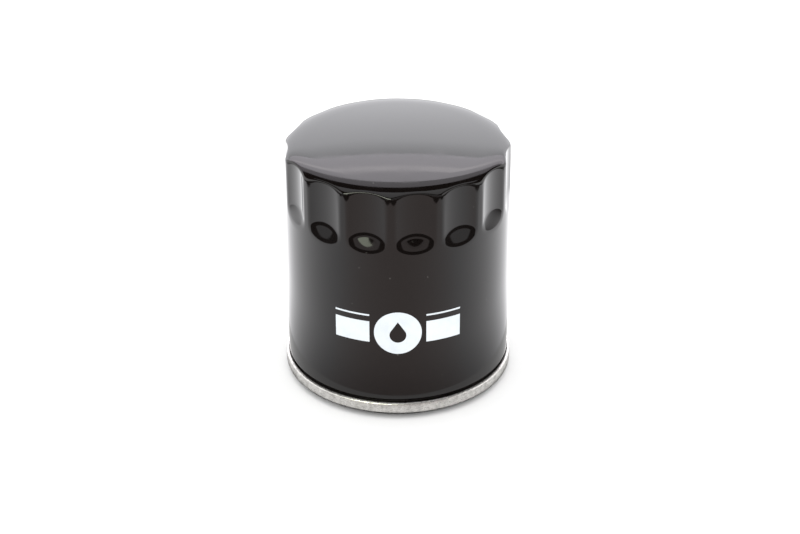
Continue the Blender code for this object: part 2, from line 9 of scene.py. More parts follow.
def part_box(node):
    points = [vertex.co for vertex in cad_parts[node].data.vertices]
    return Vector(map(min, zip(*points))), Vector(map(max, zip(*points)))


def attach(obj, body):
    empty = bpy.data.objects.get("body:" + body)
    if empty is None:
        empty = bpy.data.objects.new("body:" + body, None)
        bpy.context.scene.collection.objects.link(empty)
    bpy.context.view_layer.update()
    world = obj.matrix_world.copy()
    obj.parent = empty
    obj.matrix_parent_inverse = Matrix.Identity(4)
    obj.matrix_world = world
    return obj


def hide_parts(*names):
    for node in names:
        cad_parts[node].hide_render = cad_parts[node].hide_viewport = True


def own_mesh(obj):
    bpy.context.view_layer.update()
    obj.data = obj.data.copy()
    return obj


# a spin-on oil filter standing on its gasket, on a pale studio floor
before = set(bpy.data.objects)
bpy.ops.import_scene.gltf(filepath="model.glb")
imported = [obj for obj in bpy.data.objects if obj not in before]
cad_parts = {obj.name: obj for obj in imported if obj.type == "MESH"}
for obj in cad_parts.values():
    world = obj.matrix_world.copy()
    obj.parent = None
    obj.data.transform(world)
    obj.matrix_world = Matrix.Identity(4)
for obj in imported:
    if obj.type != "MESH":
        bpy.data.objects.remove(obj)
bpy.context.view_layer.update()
mm = 0.001
fullTurn = 2 * math.pi
weld = 0.001 * mm  # points closer together than this become one


def deselectAll():
    for obj in bpy.context.selected_objects:
        obj.select_set(False)


def pick(obj):
    deselectAll()
    obj.select_set(True)
    bpy.context.view_layer.objects.active = obj


def editAll():
    bpy.ops.object.mode_set(mode="EDIT")
    bpy.ops.mesh.select_all(action="SELECT")


def rounded(corners, steps=6):
    # corners are (x, z) or (x, z, radius): a third number rounds that corner with an arc
    line = []
    for i, corner in enumerate(corners):
        here = Vector(corner[:2])
        if len(corner) < 3:
            line.append(tuple(here))
            continue
        back = (Vector(corners[i - 1][:2]) - here).normalized()
        ahead = (Vector(corners[(i + 1) % len(corners)][:2]) - here).normalized()
        half = back.angle(ahead) / 2
        reach = corner[2] / math.tan(half)
        centre = here + (back + ahead).normalized() * corner[2] / math.sin(half)
        start = here + back * reach - centre
        turn = start.angle_signed(here + ahead * reach - centre)
        for step in range(steps + 1):
            spoke = Matrix.Rotation(-turn * step / steps, 2) @ start
            line.append(tuple(centre + spoke))
    return line


def drawLine(name, points, closed=False):
    # one vertex of a small plane, extruded along (radius, height) points; left in edit mode
    deselectAll()
    bpy.ops.mesh.primitive_plane_add(size=mm, location=(points[0][0], 0, points[0][1]))
    obj = bpy.context.object
    obj.name = name
    obj.data.name = name
    bpy.ops.object.transform_apply(location=True)
    editAll()
    bpy.ops.mesh.merge(type="CENTER")
    for (x, z), (nextX, nextZ) in zip(points, points[1:]):
        move = (nextX - x, 0, nextZ - z)
        bpy.ops.mesh.extrude_vertices_move(TRANSFORM_OT_translate={"value": move})
    if closed:
        shape = bmesh.from_edit_mesh(obj.data)
        for vert in shape.verts:
            vert.select = len(vert.link_edges) == 1
        bpy.ops.mesh.edge_face_add()
    return obj


def drawUp(rows, rise):
    for _ in range(rows):
        bpy.ops.mesh.extrude_edges_move(TRANSFORM_OT_translate={"value": (0, 0, rise)})


def applyModifier(obj, kind, **settings):
    pick(obj)
    modifier = obj.modifiers.new(kind.title(), kind)
    for key, value in settings.items():
        setattr(modifier, key, value)
    bpy.ops.object.modifier_apply(modifier=modifier.name)


def tidyMesh(obj):
    editAll()
    bpy.ops.mesh.remove_doubles(threshold=weld)
    bpy.ops.mesh.normals_make_consistent(inside=False)
    bpy.ops.object.mode_set(mode="OBJECT")


def spinLine(obj, steps):
    # turned once round Z; the Screw modifier does at once what the spin tool does in minutes
    bpy.ops.object.mode_set(mode="OBJECT")
    applyModifier(obj, "SCREW", steps=steps, render_steps=steps, use_merge_vertices=True,
                  merge_threshold=weld)
    tidyMesh(obj)


def turnedSolid(name, corners, steps):
    obj = drawLine(name, rounded(corners), closed=True)
    spinLine(obj, steps)
    return obj


def turnedSheet(name, corners, sheet, steps):
    # a pressed sheet: its middle line is spun and then given its thickness
    obj = drawLine(name, rounded(corners))
    spinLine(obj, steps)
    applyModifier(obj, "SOLIDIFY", thickness=sheet, offset=0, use_even_offset=True)
    return obj


def squareRing(inner, outer, low, high, innerEdge, outerEdge):
    return [(inner, low, innerEdge), (outer, low, outerEdge),
            (outer, high, outerEdge), (inner, high, innerEdge)]


def joinAll(pieces):
    deselectAll()
    for piece in pieces:
        piece.select_set(True)
    bpy.context.view_layer.objects.active = pieces[0]
    bpy.ops.object.join()
    return pieces[0]


def cutAway(obj, cutter):
    applyModifier(obj, "BOOLEAN", operation="DIFFERENCE", object=cutter, solver="EXACT")
    bpy.data.objects.remove(cutter)


def coords(obj):
    flat = np.empty(len(obj.data.vertices) * 3, np.float32)
    obj.data.vertices.foreach_get("co", flat)
    return flat.reshape(-1, 3).astype(float)


def moveTo(obj, places):
    obj.data.vertices.foreach_set("co", places.astype(np.float32).ravel())
    obj.data.update()


def pushOut(obj, places, push):
    # each point moves straight away from the axis by its own distance
    share = 1 + push / np.hypot(places[:, 0], places[:, 1])
    moveTo(obj, places * np.column_stack((share, share, np.ones(len(share)))))


def finishPiece(obj, body, nodes, slot, *materials, sharp=35):
    # sharp is the angle in degrees past which an edge isn't smoothed
    pick(obj)
    bpy.ops.object.transform_apply(location=True, rotation=True, scale=True)
    bpy.ops.object.shade_smooth_by_angle(angle=math.radians(sharp))
    for material in materials:
        obj.data.materials.append(material)
    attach(obj, body)
    if nodes:
        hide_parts(*nodes)
    return obj


def hexColour(code):
    # "#rrggbb" in sRGB to linear red, green, blue, alpha
    channels = []
    for i in (1, 3, 5):
        value = int(code[i:i + 2], 16) / 255
        channels.append(value / 12.92 if value <= 0.04045 else ((value + 0.055) / 1.055) ** 2.4)
    return (*channels, 1.0)


def feed(tree, node, links):
    # a source is a socket, or a node that gives its first output
    for key, source in links.items():
        socket = source.outputs[0] if isinstance(source, bpy.types.Node) else source
        tree.links.new(socket, node.inputs[key])


def addNode(tree, kind, values=None, links=None, **settings):
    # values sets sockets by name or number, links feeds them
    node = tree.nodes.new("ShaderNode" + kind)
    for key, value in settings.items():
        setattr(node, key, value)
    for key, value in (values or {}).items():
        node.inputs[key].default_value = value
    feed(tree, node, links or {})
    return node


def newMaterial(name, **values):
    material = bpy.data.materials.new(name)
    material.use_nodes = True
    tree = material.node_tree
    shader = tree.nodes["Principled BSDF"]
    for key, value in values.items():
        shader.inputs[key.replace("_", " ")].default_value = value
    place = addNode(tree, "TexCoord").outputs["Object"]
    return material, tree, shader, place


enamel = {
    "tones": ("#0a0706", "#110e0d"),
    "gloss": (0.035, 0.11),  # roughness where clean and where smeared
    "smear": 11 * mm,
    "peel": 2.2 * mm,  # width of the orange peel's waves
    "peelDepth": 0.0012 * mm,
    "dust": "#8f8c88",
    "dustPitch": 2.4 * mm,
    "dustSize": 0.045,  # a speck's radius, as a share of the pitch
    "dustless": 0.90,  # share of places that have no speck
    "dustMatt": 0.4,  # roughness that a speck adds
}


def enamelMaterial():
    # baked black enamel over drawn steel: a wet mirror gloss with a trace of orange peel,
    # faint handling smears down the side and a few specks of dust
    material, tree, shader, place = newMaterial("baked_black_enamel", IOR=1.5)
    smear = addNode(tree, "TexNoise", {"Scale": 1 / enamel["smear"], "Detail": 5, "Roughness": 0.6},
                    {"Vector": place})
    haze = addNode(tree, "MapRange", {"From Min": 0.42, "From Max": 0.75, "To Min": enamel["gloss"][0],
                                      "To Max": enamel["gloss"][1]}, {"Value": smear})
    grains = addNode(tree, "TexVoronoi", {"Scale": 1 / enamel["dustPitch"], "Randomness": 1},
                     {"Vector": place})
    lot = addNode(tree, "SeparateColor", None, {"Color": grains.outputs["Color"]})
    near = addNode(tree, "Math", {1: enamel["dustSize"]}, {0: grains.outputs["Distance"]},
                   operation="LESS_THAN")
    chosen = addNode(tree, "Math", {1: enamel["dustless"]}, {0: lot}, operation="GREATER_THAN")
    speck = addNode(tree, "Math", None, {0: near, 1: chosen}, operation="MULTIPLY")
    clean, smeared = enamel["tones"]
    tone = addNode(tree, "Mix", {6: hexColour(clean), 7: hexColour(smeared)}, {0: smear}, data_type="RGBA")
    dusted = addNode(tree, "Mix", {7: hexColour(enamel["dust"])}, {0: speck, 6: tone.outputs[2]},
                     data_type="RGBA")
    matt = addNode(tree, "Math", {1: enamel["dustMatt"]}, {0: speck}, operation="MULTIPLY")
    rough = addNode(tree, "Math", None, {0: haze, 1: matt}, operation="ADD")
    peel = addNode(tree, "TexNoise", {"Scale": 1 / enamel["peel"], "Detail": 2}, {"Vector": place})
    bump = addNode(tree, "Bump", {"Strength": 1, "Distance": enamel["peelDepth"]}, {"Height": peel})
    feed(tree, shader, {"Base Color": dusted.outputs[2], "Roughness": rough, "Normal": bump})
    return material


def twoTone(tree, shader, shade, grain, tones, rough, relief):
    # the broad pattern mixes the two tones; the fine one gives gloss and relief
    tone = addNode(tree, "Mix", {6: hexColour(tones[0]), 7: hexColour(tones[1])}, {0: shade},
                   data_type="RGBA")
    gloss = addNode(tree, "MapRange", {"From Min": 0.3, "From Max": 0.7, "To Min": rough[0],
                                       "To Max": rough[1]}, {"Value": grain})
    bump = addNode(tree, "Bump", {"Strength": 1, "Distance": relief}, {"Height": grain})
    feed(tree, shader, {"Base Color": tone.outputs[2], "Roughness": gloss, "Normal": bump})


def metalMaterial(name, tones, rough, blotch, line, relief, stretch=(1, 1, 1)):
    # bare metal: blotches of tone, and fine lines drawn out along one way by stretch
    material, tree, shader, place = newMaterial(name, Metallic=1.0)
    cloud = addNode(tree, "TexNoise", {"Scale": 1 / blotch, "Detail": 4, "Roughness": 0.6}, {"Vector": place})
    drawn = addNode(tree, "Mapping", {"Scale": stretch}, {"Vector": place})
    lines = addNode(tree, "TexNoise", {"Scale": 1 / line, "Detail": 3, "Roughness": 0.7}, {"Vector": drawn})
    both = addNode(tree, "Math", {1: 0.5, 2: 0.25}, {0: cloud}, operation="MULTIPLY_ADD")
    mixed = addNode(tree, "Math", {1: 0.5}, {0: lines, 2: both}, operation="MULTIPLY_ADD")
    spread = addNode(tree, "MapRange", {"From Min": 0.45, "From Max": 0.85}, {"Value": mixed})
    twoTone(tree, shader, spread, lines, tones, rough, relief)
    return material


def plainMaterial(name, tones, rough, blotch, grain, relief, **values):
    # rubber, paper, compound and ink: soft blotches over a fine grain
    material, tree, shader, place = newMaterial(name, **values)
    cloud = addNode(tree, "TexNoise", {"Scale": 1 / blotch, "Detail": 5, "Roughness": 0.6}, {"Vector": place})
    fine = addNode(tree, "TexNoise", {"Scale": 1 / grain, "Detail": 3, "Roughness": 0.65}, {"Vector": place})
    spread = addNode(tree, "MapRange", {"From Min": 0.3, "From Max": 0.7}, {"Value": cloud})
    twoTone(tree, shader, spread, fine, tones, rough, relief)
    return material


print("materials")
blackEnamel = enamelMaterial()
# deep-drawn steel, unpainted inside: long upright draw lines under a dull oil film
drawnSteel = metalMaterial("deep_drawn_steel", ("#77787a", "#a9aaab"), rough=(0.28, 0.5), blotch=9 * mm,
                           line=0.6 * mm, relief=0.004 * mm, stretch=(1, 1, 0.04))
# electrolytic tinplate, rolled: warm grey-white with fine hoop scratches left by the seaming rollers
rolledTinplate = metalMaterial("rolled_tinplate", ("#807d79", "#eceae6"), rough=(0.22, 0.42), blotch=1.6 * mm,
                               line=0.45 * mm, relief=0.006 * mm, stretch=(0.25, 0.25, 3))
# bright tinplate, pressed: clean grey with a soft mottled bloom
pressedTinplate = metalMaterial("pressed_tinplate", ("#a3a39f", "#cfcfca"), rough=(0.2, 0.34), blotch=6 * mm,
                                line=1.1 * mm, relief=0.003 * mm)
# clear-passivated zinc over turned steel: a faint straw tint and dull satin
zincSteel = metalMaterial("zinc_plated_steel", ("#98958a", "#c3c0b4"), rough=(0.3, 0.5), blotch=5 * mm,
                          line=0.5 * mm, relief=0.006 * mm)
# oil-tempered spring wire: dark, smooth and slightly blue
springSteel = metalMaterial("tempered_spring_wire", ("#5a5c60", "#85878a"), rough=(0.22, 0.36), blotch=2 * mm,
                            line=0.4 * mm, relief=0.003 * mm)
# compression-moulded nitrile rubber: black, with a dry bloom and a fine moulded grain
nitrileRubber = plainMaterial("moulded_nitrile_rubber", ("#131313", "#262524"), rough=(0.42, 0.62),
                              blotch=5 * mm, grain=0.35 * mm, relief=0.008 * mm)
# moulded silicone rubber: brick orange, softly translucent at its lip
siliconeRubber = plainMaterial("moulded_silicone_rubber", ("#a33313", "#c2491f"), rough=(0.38, 0.52),
                               blotch=6 * mm, grain=0.4 * mm, relief=0.006 * mm,
                               Subsurface_Weight=0.15, Subsurface_Scale=1 * mm)
# resin-cured cellulose paper: straw yellow with matted fibres, dry to the eye
filterPaper = plainMaterial("resin_cured_paper", ("#b8934d", "#dcc083"), rough=(0.8, 0.95), blotch=3 * mm,
                            grain=0.18 * mm, relief=0.02 * mm)
# oven-set plastisol: grey-green, rubbery, with soft flow blotches
plastisol = plainMaterial("oven_set_plastisol", ("#4c544d", "#6d766b"), rough=(0.35, 0.55), blotch=4 * mm,
                          grain=0.8 * mm, relief=0.02 * mm)
# water-based seam compound: dull putty colour
seamCompound = plainMaterial("seam_compound", ("#8d8471", "#b4ab96"), rough=(0.6, 0.8), blotch=2 * mm,
                             grain=0.3 * mm, relief=0.01 * mm)
# pad-printed epoxy ink: dense white with a cold cast and a silk gloss
whiteInk = plainMaterial("pad_printed_ink", ("#ced5da", "#dce2e6"), rough=(0.2, 0.3), blotch=8 * mm,
                         grain=0.4 * mm, relief=0.001 * mm)


can = {
    "radius": 37.0 * mm,
    "crown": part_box("canister")[1].z,
    "sheet": 0.40 * mm,
    "domeSag": 1.1 * mm,
    "shoulderWidth": 8.5 * mm,
    "shoulderDrop": 2.7 * mm,
    "shoulderWeight": 1.35,  # how squarely the shoulder turns from dome to wall
    "wallRows": (50 * mm, 35 * mm, 20 * mm),
    "neckStep": 0.44 * mm,
    "neckHigh": 7.15 * mm,
    "neckLow": 6.35 * mm,
    "neckBend": 0.25 * mm,
    "hookFoot": 3.10 * mm,
    "hookTop": 5.07 * mm,
    "hookRadius": 37.32 * mm,
    "hookSteps": 6,
    "outerSteps": (10, 26, 28),  # rows on the dome, on the shoulder and over the flutes' ends
    "innerSteps": (4, 8, 6),
    "columns": 720,
}
flute = {
    "count": 15,
    "depth": 1.5 * mm,
    "tool": 22.0 * mm,  # radius of the pressing tool
    "lip": 0.36 * mm,  # how softly a flute's edge is rounded
    "topLip": 0.85 * mm,  # the same where the flute runs out into the shoulder
    "topLipStart": 2.2 * mm,  # below the shoulder's foot
    "topLipRun": 3.8 * mm,
    "footMiddle": 63.7 * mm,  # the oval ramp that ends a flute
    "footHalf": 2.75 * mm,
    "footWidth": 6.7 * mm,  # half of it
    "footEdge": 0.22,  # how softly the ramp starts and ends, as a share of its height
    "footLean": 0.16,  # how much steeper it starts than it ends
    "footRound": 0.10,  # how blunt the oval's ends are
    "rowsTop": 67.8 * mm,  # the mesh is finer over the ramps
    "rowsLow": 59.4 * mm,
    "phase": math.radians(2.7),
    "crowd": 0.10,  # draws the columns towards the ridges
}


def shoulderFoot():
    return can["crown"] - can["domeSag"] - can["shoulderDrop"]


def neckTop():
    return (can["radius"], can["neckHigh"] + 0.3 * mm)


def canLine(inward, steps):
    # the unpressed wall, from crown to neck, moved inward by a distance
    domeSteps, shoulderSteps, runSteps = steps
    edge = can["radius"] - can["shoulderWidth"]
    rim = can["crown"] - can["domeSag"]
    slope = 2 * can["domeSag"] / edge
    corner = (can["radius"], rim - slope * can["shoulderWidth"])
    line = []
    for step in range(domeSteps):
        radius = edge * step / domeSteps
        line.append((radius, can["crown"] - can["domeSag"] * (radius / edge) ** 2))
    for step in range(shoulderSteps + 1):
        t = step / shoulderSteps
        weights = ((1 - t) ** 2, 2 * can["shoulderWeight"] * t * (1 - t), t * t)
        ends = ((edge, rim), corner, (can["radius"], shoulderFoot()))
        total = sum(weights)
        line.append(tuple(sum(w * p[axis] for w, p in zip(weights, ends)) / total for axis in (0, 1)))
    for share in (0.3, 0.6, 1.0):
        line.append((can["radius"], shoulderFoot() + share * (flute["rowsTop"] - shoulderFoot())))
    run = flute["rowsLow"] - flute["rowsTop"]
    for step in range(1, runSteps + 1):
        line.append((can["radius"], flute["rowsTop"] + run * step / runSteps))
    line += [(can["radius"], height) for height in can["wallRows"]]
    line.append(neckTop())
    moved = []
    for i, point in enumerate(line):
        before = Vector(line[max(0, i - 1)])
        after = Vector(line[min(len(line) - 1, i + 1)])
        run = (after - before).normalized()
        moved.append((point[0] + run.y * inward, point[1] - run.x * inward))
    moved[0] = (0.0, can["crown"] - inward)
    return moved


def outerRadiusAt(height):
    outside = canLine(0, can["outerSteps"])[::-1]
    return np.interp(height, [z for r, z in outside], [r for r, z in outside])


def softMax(values, soft):
    # values where they are positive and 0 where negative, with a rounded step between
    return np.where(values > soft, values, np.where(values < -soft, 0, (values + soft) ** 2 / (4 * soft)))


def pressFlutes(places):
    radius = np.hypot(places[:, 0], places[:, 1])
    angle = np.arctan2(places[:, 1], places[:, 0])
    pitch = fullTurn / flute["count"]
    off = np.mod(angle, pitch) - pitch / 2
    share = off / (pitch / 2)
    off = (np.abs(share) + flute["crowd"] * np.sin(np.pi * np.abs(share))) * np.sign(share) * pitch / 2
    angle = angle + off - share * pitch / 2
    height = places[:, 2]
    toolCentre = can["radius"] - flute["depth"] + flute["tool"]
    reach = np.sqrt(np.maximum(0, flute["tool"] ** 2 - (toolCentre * np.sin(off)) ** 2))
    bore = toolCentre * np.cos(off) - reach
    # a flute ends in a dished ramp, an oval that slopes out to the wall
    across = can["radius"] * off / flute["footWidth"]
    tall = 2 * flute["footHalf"] * np.sqrt(np.clip(1 - across ** 2, 0, 1) + flute["footRound"])
    down = 0.5 + (flute["footMiddle"] - height) / tall
    rise = softMax(down, flute["footEdge"]) - softMax(down - 1, flute["footEdge"])
    rise = rise + flute["footLean"] * rise * (1 - rise)
    inner = radius < outerRadiusAt(height) - can["sheet"] / 2
    skin = radius + np.where(inner, can["sheet"], 0)
    climb = np.clip((height - shoulderFoot() + flute["topLipStart"]) / flute["topLipRun"], 0, 1)
    soft = flute["lip"] + (flute["topLip"] - flute["lip"]) * climb * climb * (3 - 2 * climb)
    press = softMax(skin - bore, soft) * (1 - rise)
    untouched = (height < flute["rowsLow"]) | (radius < can["radius"] - can["shoulderWidth"])
    press = np.where(untouched, 0, press)
    radius = radius - press
    angle = angle + flute["phase"]
    return np.column_stack((radius * np.cos(angle), radius * np.sin(angle), height))


def hookLine(neck):
    # round the bend inside the seam, up the hook, over its edge and back down inside it
    sheet, steps = can["sheet"], can["hookSteps"]
    middle = (neck - sheet + can["hookRadius"] + sheet / 2) / 2
    outer = can["hookRadius"] + sheet / 2 - middle
    points = []
    for lean, reach in [(math.pi * (1 + i / steps), outer - sheet) for i in range(steps + 1)]:
        points.append((middle + reach * math.cos(lean), can["hookFoot"] + reach * math.sin(lean)))
    points.append((can["hookRadius"] - sheet / 2, can["hookTop"]))
    points.append((can["hookRadius"] + sheet / 2, can["hookTop"]))
    for lean in [-math.pi * i / steps for i in range(steps + 1)]:
        points.append((middle + outer * math.cos(lean), can["hookFoot"] + outer * math.sin(lean)))
    return points


def makeCanister():
    neck = can["radius"] - can["neckStep"]
    step = [
        neckTop(), (can["radius"], can["neckHigh"], can["neckBend"]),
        (neck, can["neckLow"], can["neckBend"]), (neck, can["neckLow"] - 0.5 * mm),
    ]
    line = canLine(0, can["outerSteps"]) + rounded(step, 4)[1:] + hookLine(neck)
    line += [(neck - can["sheet"], can["neckLow"]), (can["radius"] - can["sheet"], can["neckHigh"])]
    line += canLine(can["sheet"], can["innerSteps"])[::-1]
    obj = drawLine("canister_shell", line)
    spinLine(obj, can["columns"])
    moveTo(obj, pressFlutes(coords(obj)))
    return obj


def paintSides(obj, inside):
    # faces that look into the can take the second material
    heart = Vector((0, 0, can["crown"] / 2))
    obj.data.materials.append(inside)
    for face in obj.data.polygons:
        if face.normal.dot(face.center - heart) < 0 and face.center.z > can["neckLow"]:
            face.material_index = 1


print("canister")
canister = makeCanister()
finishPiece(canister, "shell", ["canister"], "canister_paint", blackEnamel, sharp=60)
paintSides(canister, drawnSteel)


mark = {
    "radius": 37.004 * mm,  # just proud of the paint
    "ink": 0.03 * mm,
    "reach": 21.0 * mm,  # from the middle to the outer end of a bar, round the can
    "gap": 9.2 * mm,  # and to its inner end
    "foot": 28.4 * mm,
    "height": 7.6 * mm,
    "rule": 0.6 * mm,
    "ruleFoot": 38.0 * mm,
    "columns": 24,
    "disc": 7.7 * mm,
    "drop": 2.7 * mm,  # radius of the oil drop's belly
    "dropTip": 4.9 * mm,
    "dropFall": 0.8 * mm,  # how far the drop sits below the disc's middle
    "slices": 7,  # cuts a millimetre apart on each side, so that the disc can bend
    "steps": 96,
}


def addBar(inner, outer, foot, height):
    # a flat bar in the sheet that is later wrapped round the can
    deselectAll()
    bpy.ops.mesh.primitive_grid_add(x_subdivisions=mark["columns"], y_subdivisions=2, size=1,
                                    location=((inner + outer) / 2, foot + height / 2, 0))
    bar = bpy.context.object
    bar.scale = (abs(outer - inner), height, 1)
    bpy.ops.object.transform_apply(location=True, rotation=True, scale=True)
    return bar


def addDropDisc():
    # a disc with an oil drop cut out of it, bridged between the two outlines
    deselectAll()
    bpy.ops.mesh.primitive_circle_add(vertices=mark["steps"], radius=mark["disc"], location=(0, 0, 0))
    disc = bpy.context.object
    editAll()
    bpy.ops.mesh.extrude_edges_move()
    side = math.acos(mark["drop"] / mark["dropTip"])
    shape = bmesh.from_edit_mesh(disc.data)
    for vert in [v for v in shape.verts if v.select]:
        angle = math.atan2(vert.co.x, -vert.co.y)  # 0 at the belly, half a turn at the tip
        away = abs(angle)
        if away < math.pi - side:
            x, y = mark["drop"] * math.sin(away), -mark["drop"] * math.cos(away)
        else:
            share = (math.pi - away) / side
            x = mark["drop"] * math.sin(side) * share
            y = mark["dropTip"] + (mark["drop"] * math.cos(side) - mark["dropTip"]) * share
        vert.co = (math.copysign(x, angle), y - mark["dropFall"], 0)
    bmesh.update_edit_mesh(disc.data)
    bpy.ops.mesh.select_all(action="SELECT")
    bpy.ops.mesh.subdivide(number_cuts=1)
    bpy.ops.object.mode_set(mode="OBJECT")
    disc.location.y = mark["foot"] + mark["height"] / 2
    bpy.ops.object.transform_apply(location=True)
    return disc


def makeMark():
    pieces = [addDropDisc()]
    for side in (-1, 1):
        inner, outer = sorted((side * mark["gap"], side * mark["reach"]))
        pieces.append(addBar(inner, outer, mark["foot"], mark["height"]))
        pieces.append(addBar(inner, outer, mark["ruleFoot"], mark["rule"]))
    obj = joinAll(pieces)
    obj.name = "printed_mark"
    bpy.ops.object.mode_set(mode="EDIT")
    for cut in range(-mark["slices"], mark["slices"] + 1):
        bpy.ops.mesh.select_all(action="SELECT")
        bpy.ops.mesh.bisect(plane_co=(cut * mm, 0, 0), plane_no=(1, 0, 0))
    bpy.ops.mesh.select_all(action="SELECT")
    bpy.ops.mesh.normals_make_consistent(inside=False)
    bpy.ops.object.mode_set(mode="OBJECT")
    flat = coords(obj)
    turn = flat[:, 0] / can["radius"]
    moveTo(obj, np.column_stack((mark["radius"] * np.sin(turn), -mark["radius"] * np.cos(turn), flat[:, 1])))
    for face in obj.data.polygons:
        if face.normal.y > 0:
            face.flip()
    applyModifier(obj, "SOLIDIFY", thickness=mark["ink"], offset=1)
    return obj


print("printed mark")
finishPiece(makeMark(), "shell", [], "canister_paint", whiteInk)


lid = {
    "sheet": 0.40 * mm,
    "foot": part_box("seaming_lid")[0].z,
    "top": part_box("seaming_lid")[1].z,
    "wall": 37.80 * mm,
    "coverHook": 36.84 * mm,
    "chuck": 35.88 * mm,
    "roof": 5.0 * mm,
    "ribOut": 30.48 * mm,
    "ribIn": 29.28 * mm,
    "ribFoot": 2.6 * mm,
    "flange": 25.18 * mm,
    "hookEnd": 3.6 * mm,
    "bend": 0.3 * mm,
    "chuckBend": 0.45 * mm,
    "wallBend": 0.62 * mm,
    "steps": 480,
    "waver": 0.012 * mm,
    # dents in the seam: degrees right of the front, height, depth and half-width
    "dents": ((36, 5.7 * mm, 0.16 * mm, 1.0 * mm), (33.5, 3.6 * mm, 0.07 * mm, 1.3 * mm),
              (-21, 5.4 * mm, 0.06 * mm, 1.6 * mm), (-58, 3.0 * mm, 0.08 * mm, 1.4 * mm),
              (118, 4.6 * mm, 0.09 * mm, 1.2 * mm), (201, 3.4 * mm, 0.07 * mm, 1.8 * mm)),
}


def makeSeamLid():
    low = lid["foot"] + lid["sheet"] / 2
    high = lid["top"] - lid["sheet"] / 2
    hookBend = (lid["wall"] - lid["coverHook"]) / 2 * 0.98  # just short of meeting its neighbour
    corners = [
        (lid["flange"], lid["roof"]),
        (lid["ribIn"], lid["roof"], lid["bend"]), (lid["ribIn"], lid["ribFoot"], lid["bend"]),
        (lid["ribOut"], lid["ribFoot"], lid["bend"]), (lid["ribOut"], lid["roof"], lid["bend"]),
        (lid["chuck"], lid["roof"], lid["bend"]), (lid["chuck"], low, lid["chuckBend"]),
        (lid["wall"], low, lid["wallBend"]), (lid["wall"], (low + high) / 2),
        (lid["wall"], high, hookBend), (lid["coverHook"], high, hookBend),
        (lid["coverHook"], lid["hookEnd"]),
    ]
    obj = turnedSheet("seam_ring", corners, lid["sheet"], lid["steps"])
    places = coords(obj)
    radius = np.hypot(places[:, 0], places[:, 1])
    outer = np.clip((radius - lid["coverHook"]) / (lid["wall"] - lid["coverHook"]), 0, 1)
    turn = np.arctan2(places[:, 0], -places[:, 1])
    # the rollers leave a slow waver and small dents in the outer wall
    waver = lid["waver"] * (np.sin(7 * turn + 1) + 0.6 * np.sin(17 * turn) + 0.4 * np.sin(41 * turn + 2))
    push = waver * outer
    for angle, height, depth, spread in lid["dents"]:
        away = np.angle(np.exp(1j * (turn - math.radians(angle)))) * lid["wall"]
        fall = (away ** 2 + (places[:, 2] - height) ** 2) / (2 * (spread / 2) ** 2)
        push = push - depth * outer * np.exp(-fall)
    pushOut(obj, places, push)
    return obj


print("seam and gasket")
finishPiece(makeSeamLid(), "shell", ["seaming_lid"], "tinplate", rolledTinplate)

sealantLow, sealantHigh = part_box("seam_sealant")
sealant = {"inner": 36.64 * mm, "outer": 37.04 * mm, "edge": 0.06 * mm, "steps": 240}
sealantLine = squareRing(sealant["inner"], sealant["outer"], sealantLow.z, sealantHigh.z, sealant["edge"],
                         sealant["edge"])
sealantRing = turnedSolid("seam_compound_ring", sealantLine, sealant["steps"])
finishPiece(sealantRing, "shell", ["seam_sealant"], "seam_compound", seamCompound)

gasketLow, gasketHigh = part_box("sealing_gasket")
gasket = {
    "inner": 30.98 * mm,
    "outer": gasketHigh.y,
    "edge": 0.5 * mm,
    "flash": 0.12 * mm,
    "flashFoot": 0.1 * mm,  # half the height of the mould line where it leaves the wall
    "flashTip": 0.03 * mm,
    "steps": 360,
}


def makeGasket():
    # a lathe-square ring with rounded corners and a thin mould line round its outer wall
    low, high = gasketLow.z, gasketHigh.z
    middle = (low + high) / 2
    line = gasket["outer"] - gasket["flash"]
    corners = [
        (gasket["inner"], low, gasket["edge"]), (line, low, gasket["edge"]),
        (line, middle - gasket["flashFoot"]), (gasket["outer"], middle - gasket["flashTip"]),
        (gasket["outer"], middle + gasket["flashTip"]), (line, middle + gasket["flashFoot"]),
        (line, high, gasket["edge"]), (gasket["inner"], high, gasket["edge"]),
    ]
    return turnedSolid("face_gasket", corners, gasket["steps"])


finishPiece(makeGasket(), "shell", ["sealing_gasket"], "nitrile_rubber", nitrileRubber)


plateLow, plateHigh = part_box("threaded_base_plate")
plate = {
    "radius": plateHigh.x,
    "top": plateLow.z + 3.0 * mm,
    "edge": 0.5 * mm,
    "hub": 12.4 * mm,
    "hubRoot": 0.9 * mm,
    "minor": 8.67 * mm,
    "major": 9.53 * mm,
    "pitch": 25.4 / 16 * mm,
    "groove": (1.16, 2.4),  # the thread's depth at its root and how fast it falls away, in pitches
    "rootRound": 0.25,
    "runOut": 0.6 * mm,
    "mouth": 10.4 * mm,
    "mouthDepth": 1.5 * mm,
    "mouthEdge": 0.2 * mm,
    "leadIn": 0.4 * mm,
    "inlets": 8,
    "inletRadius": 3.5 * mm,
    "inletCircle": 19.04 * mm,
    "inletEdge": 0.35 * mm,
    "inletSteps": 48,
    "steps": 192,
    "boreRows": 150,
}


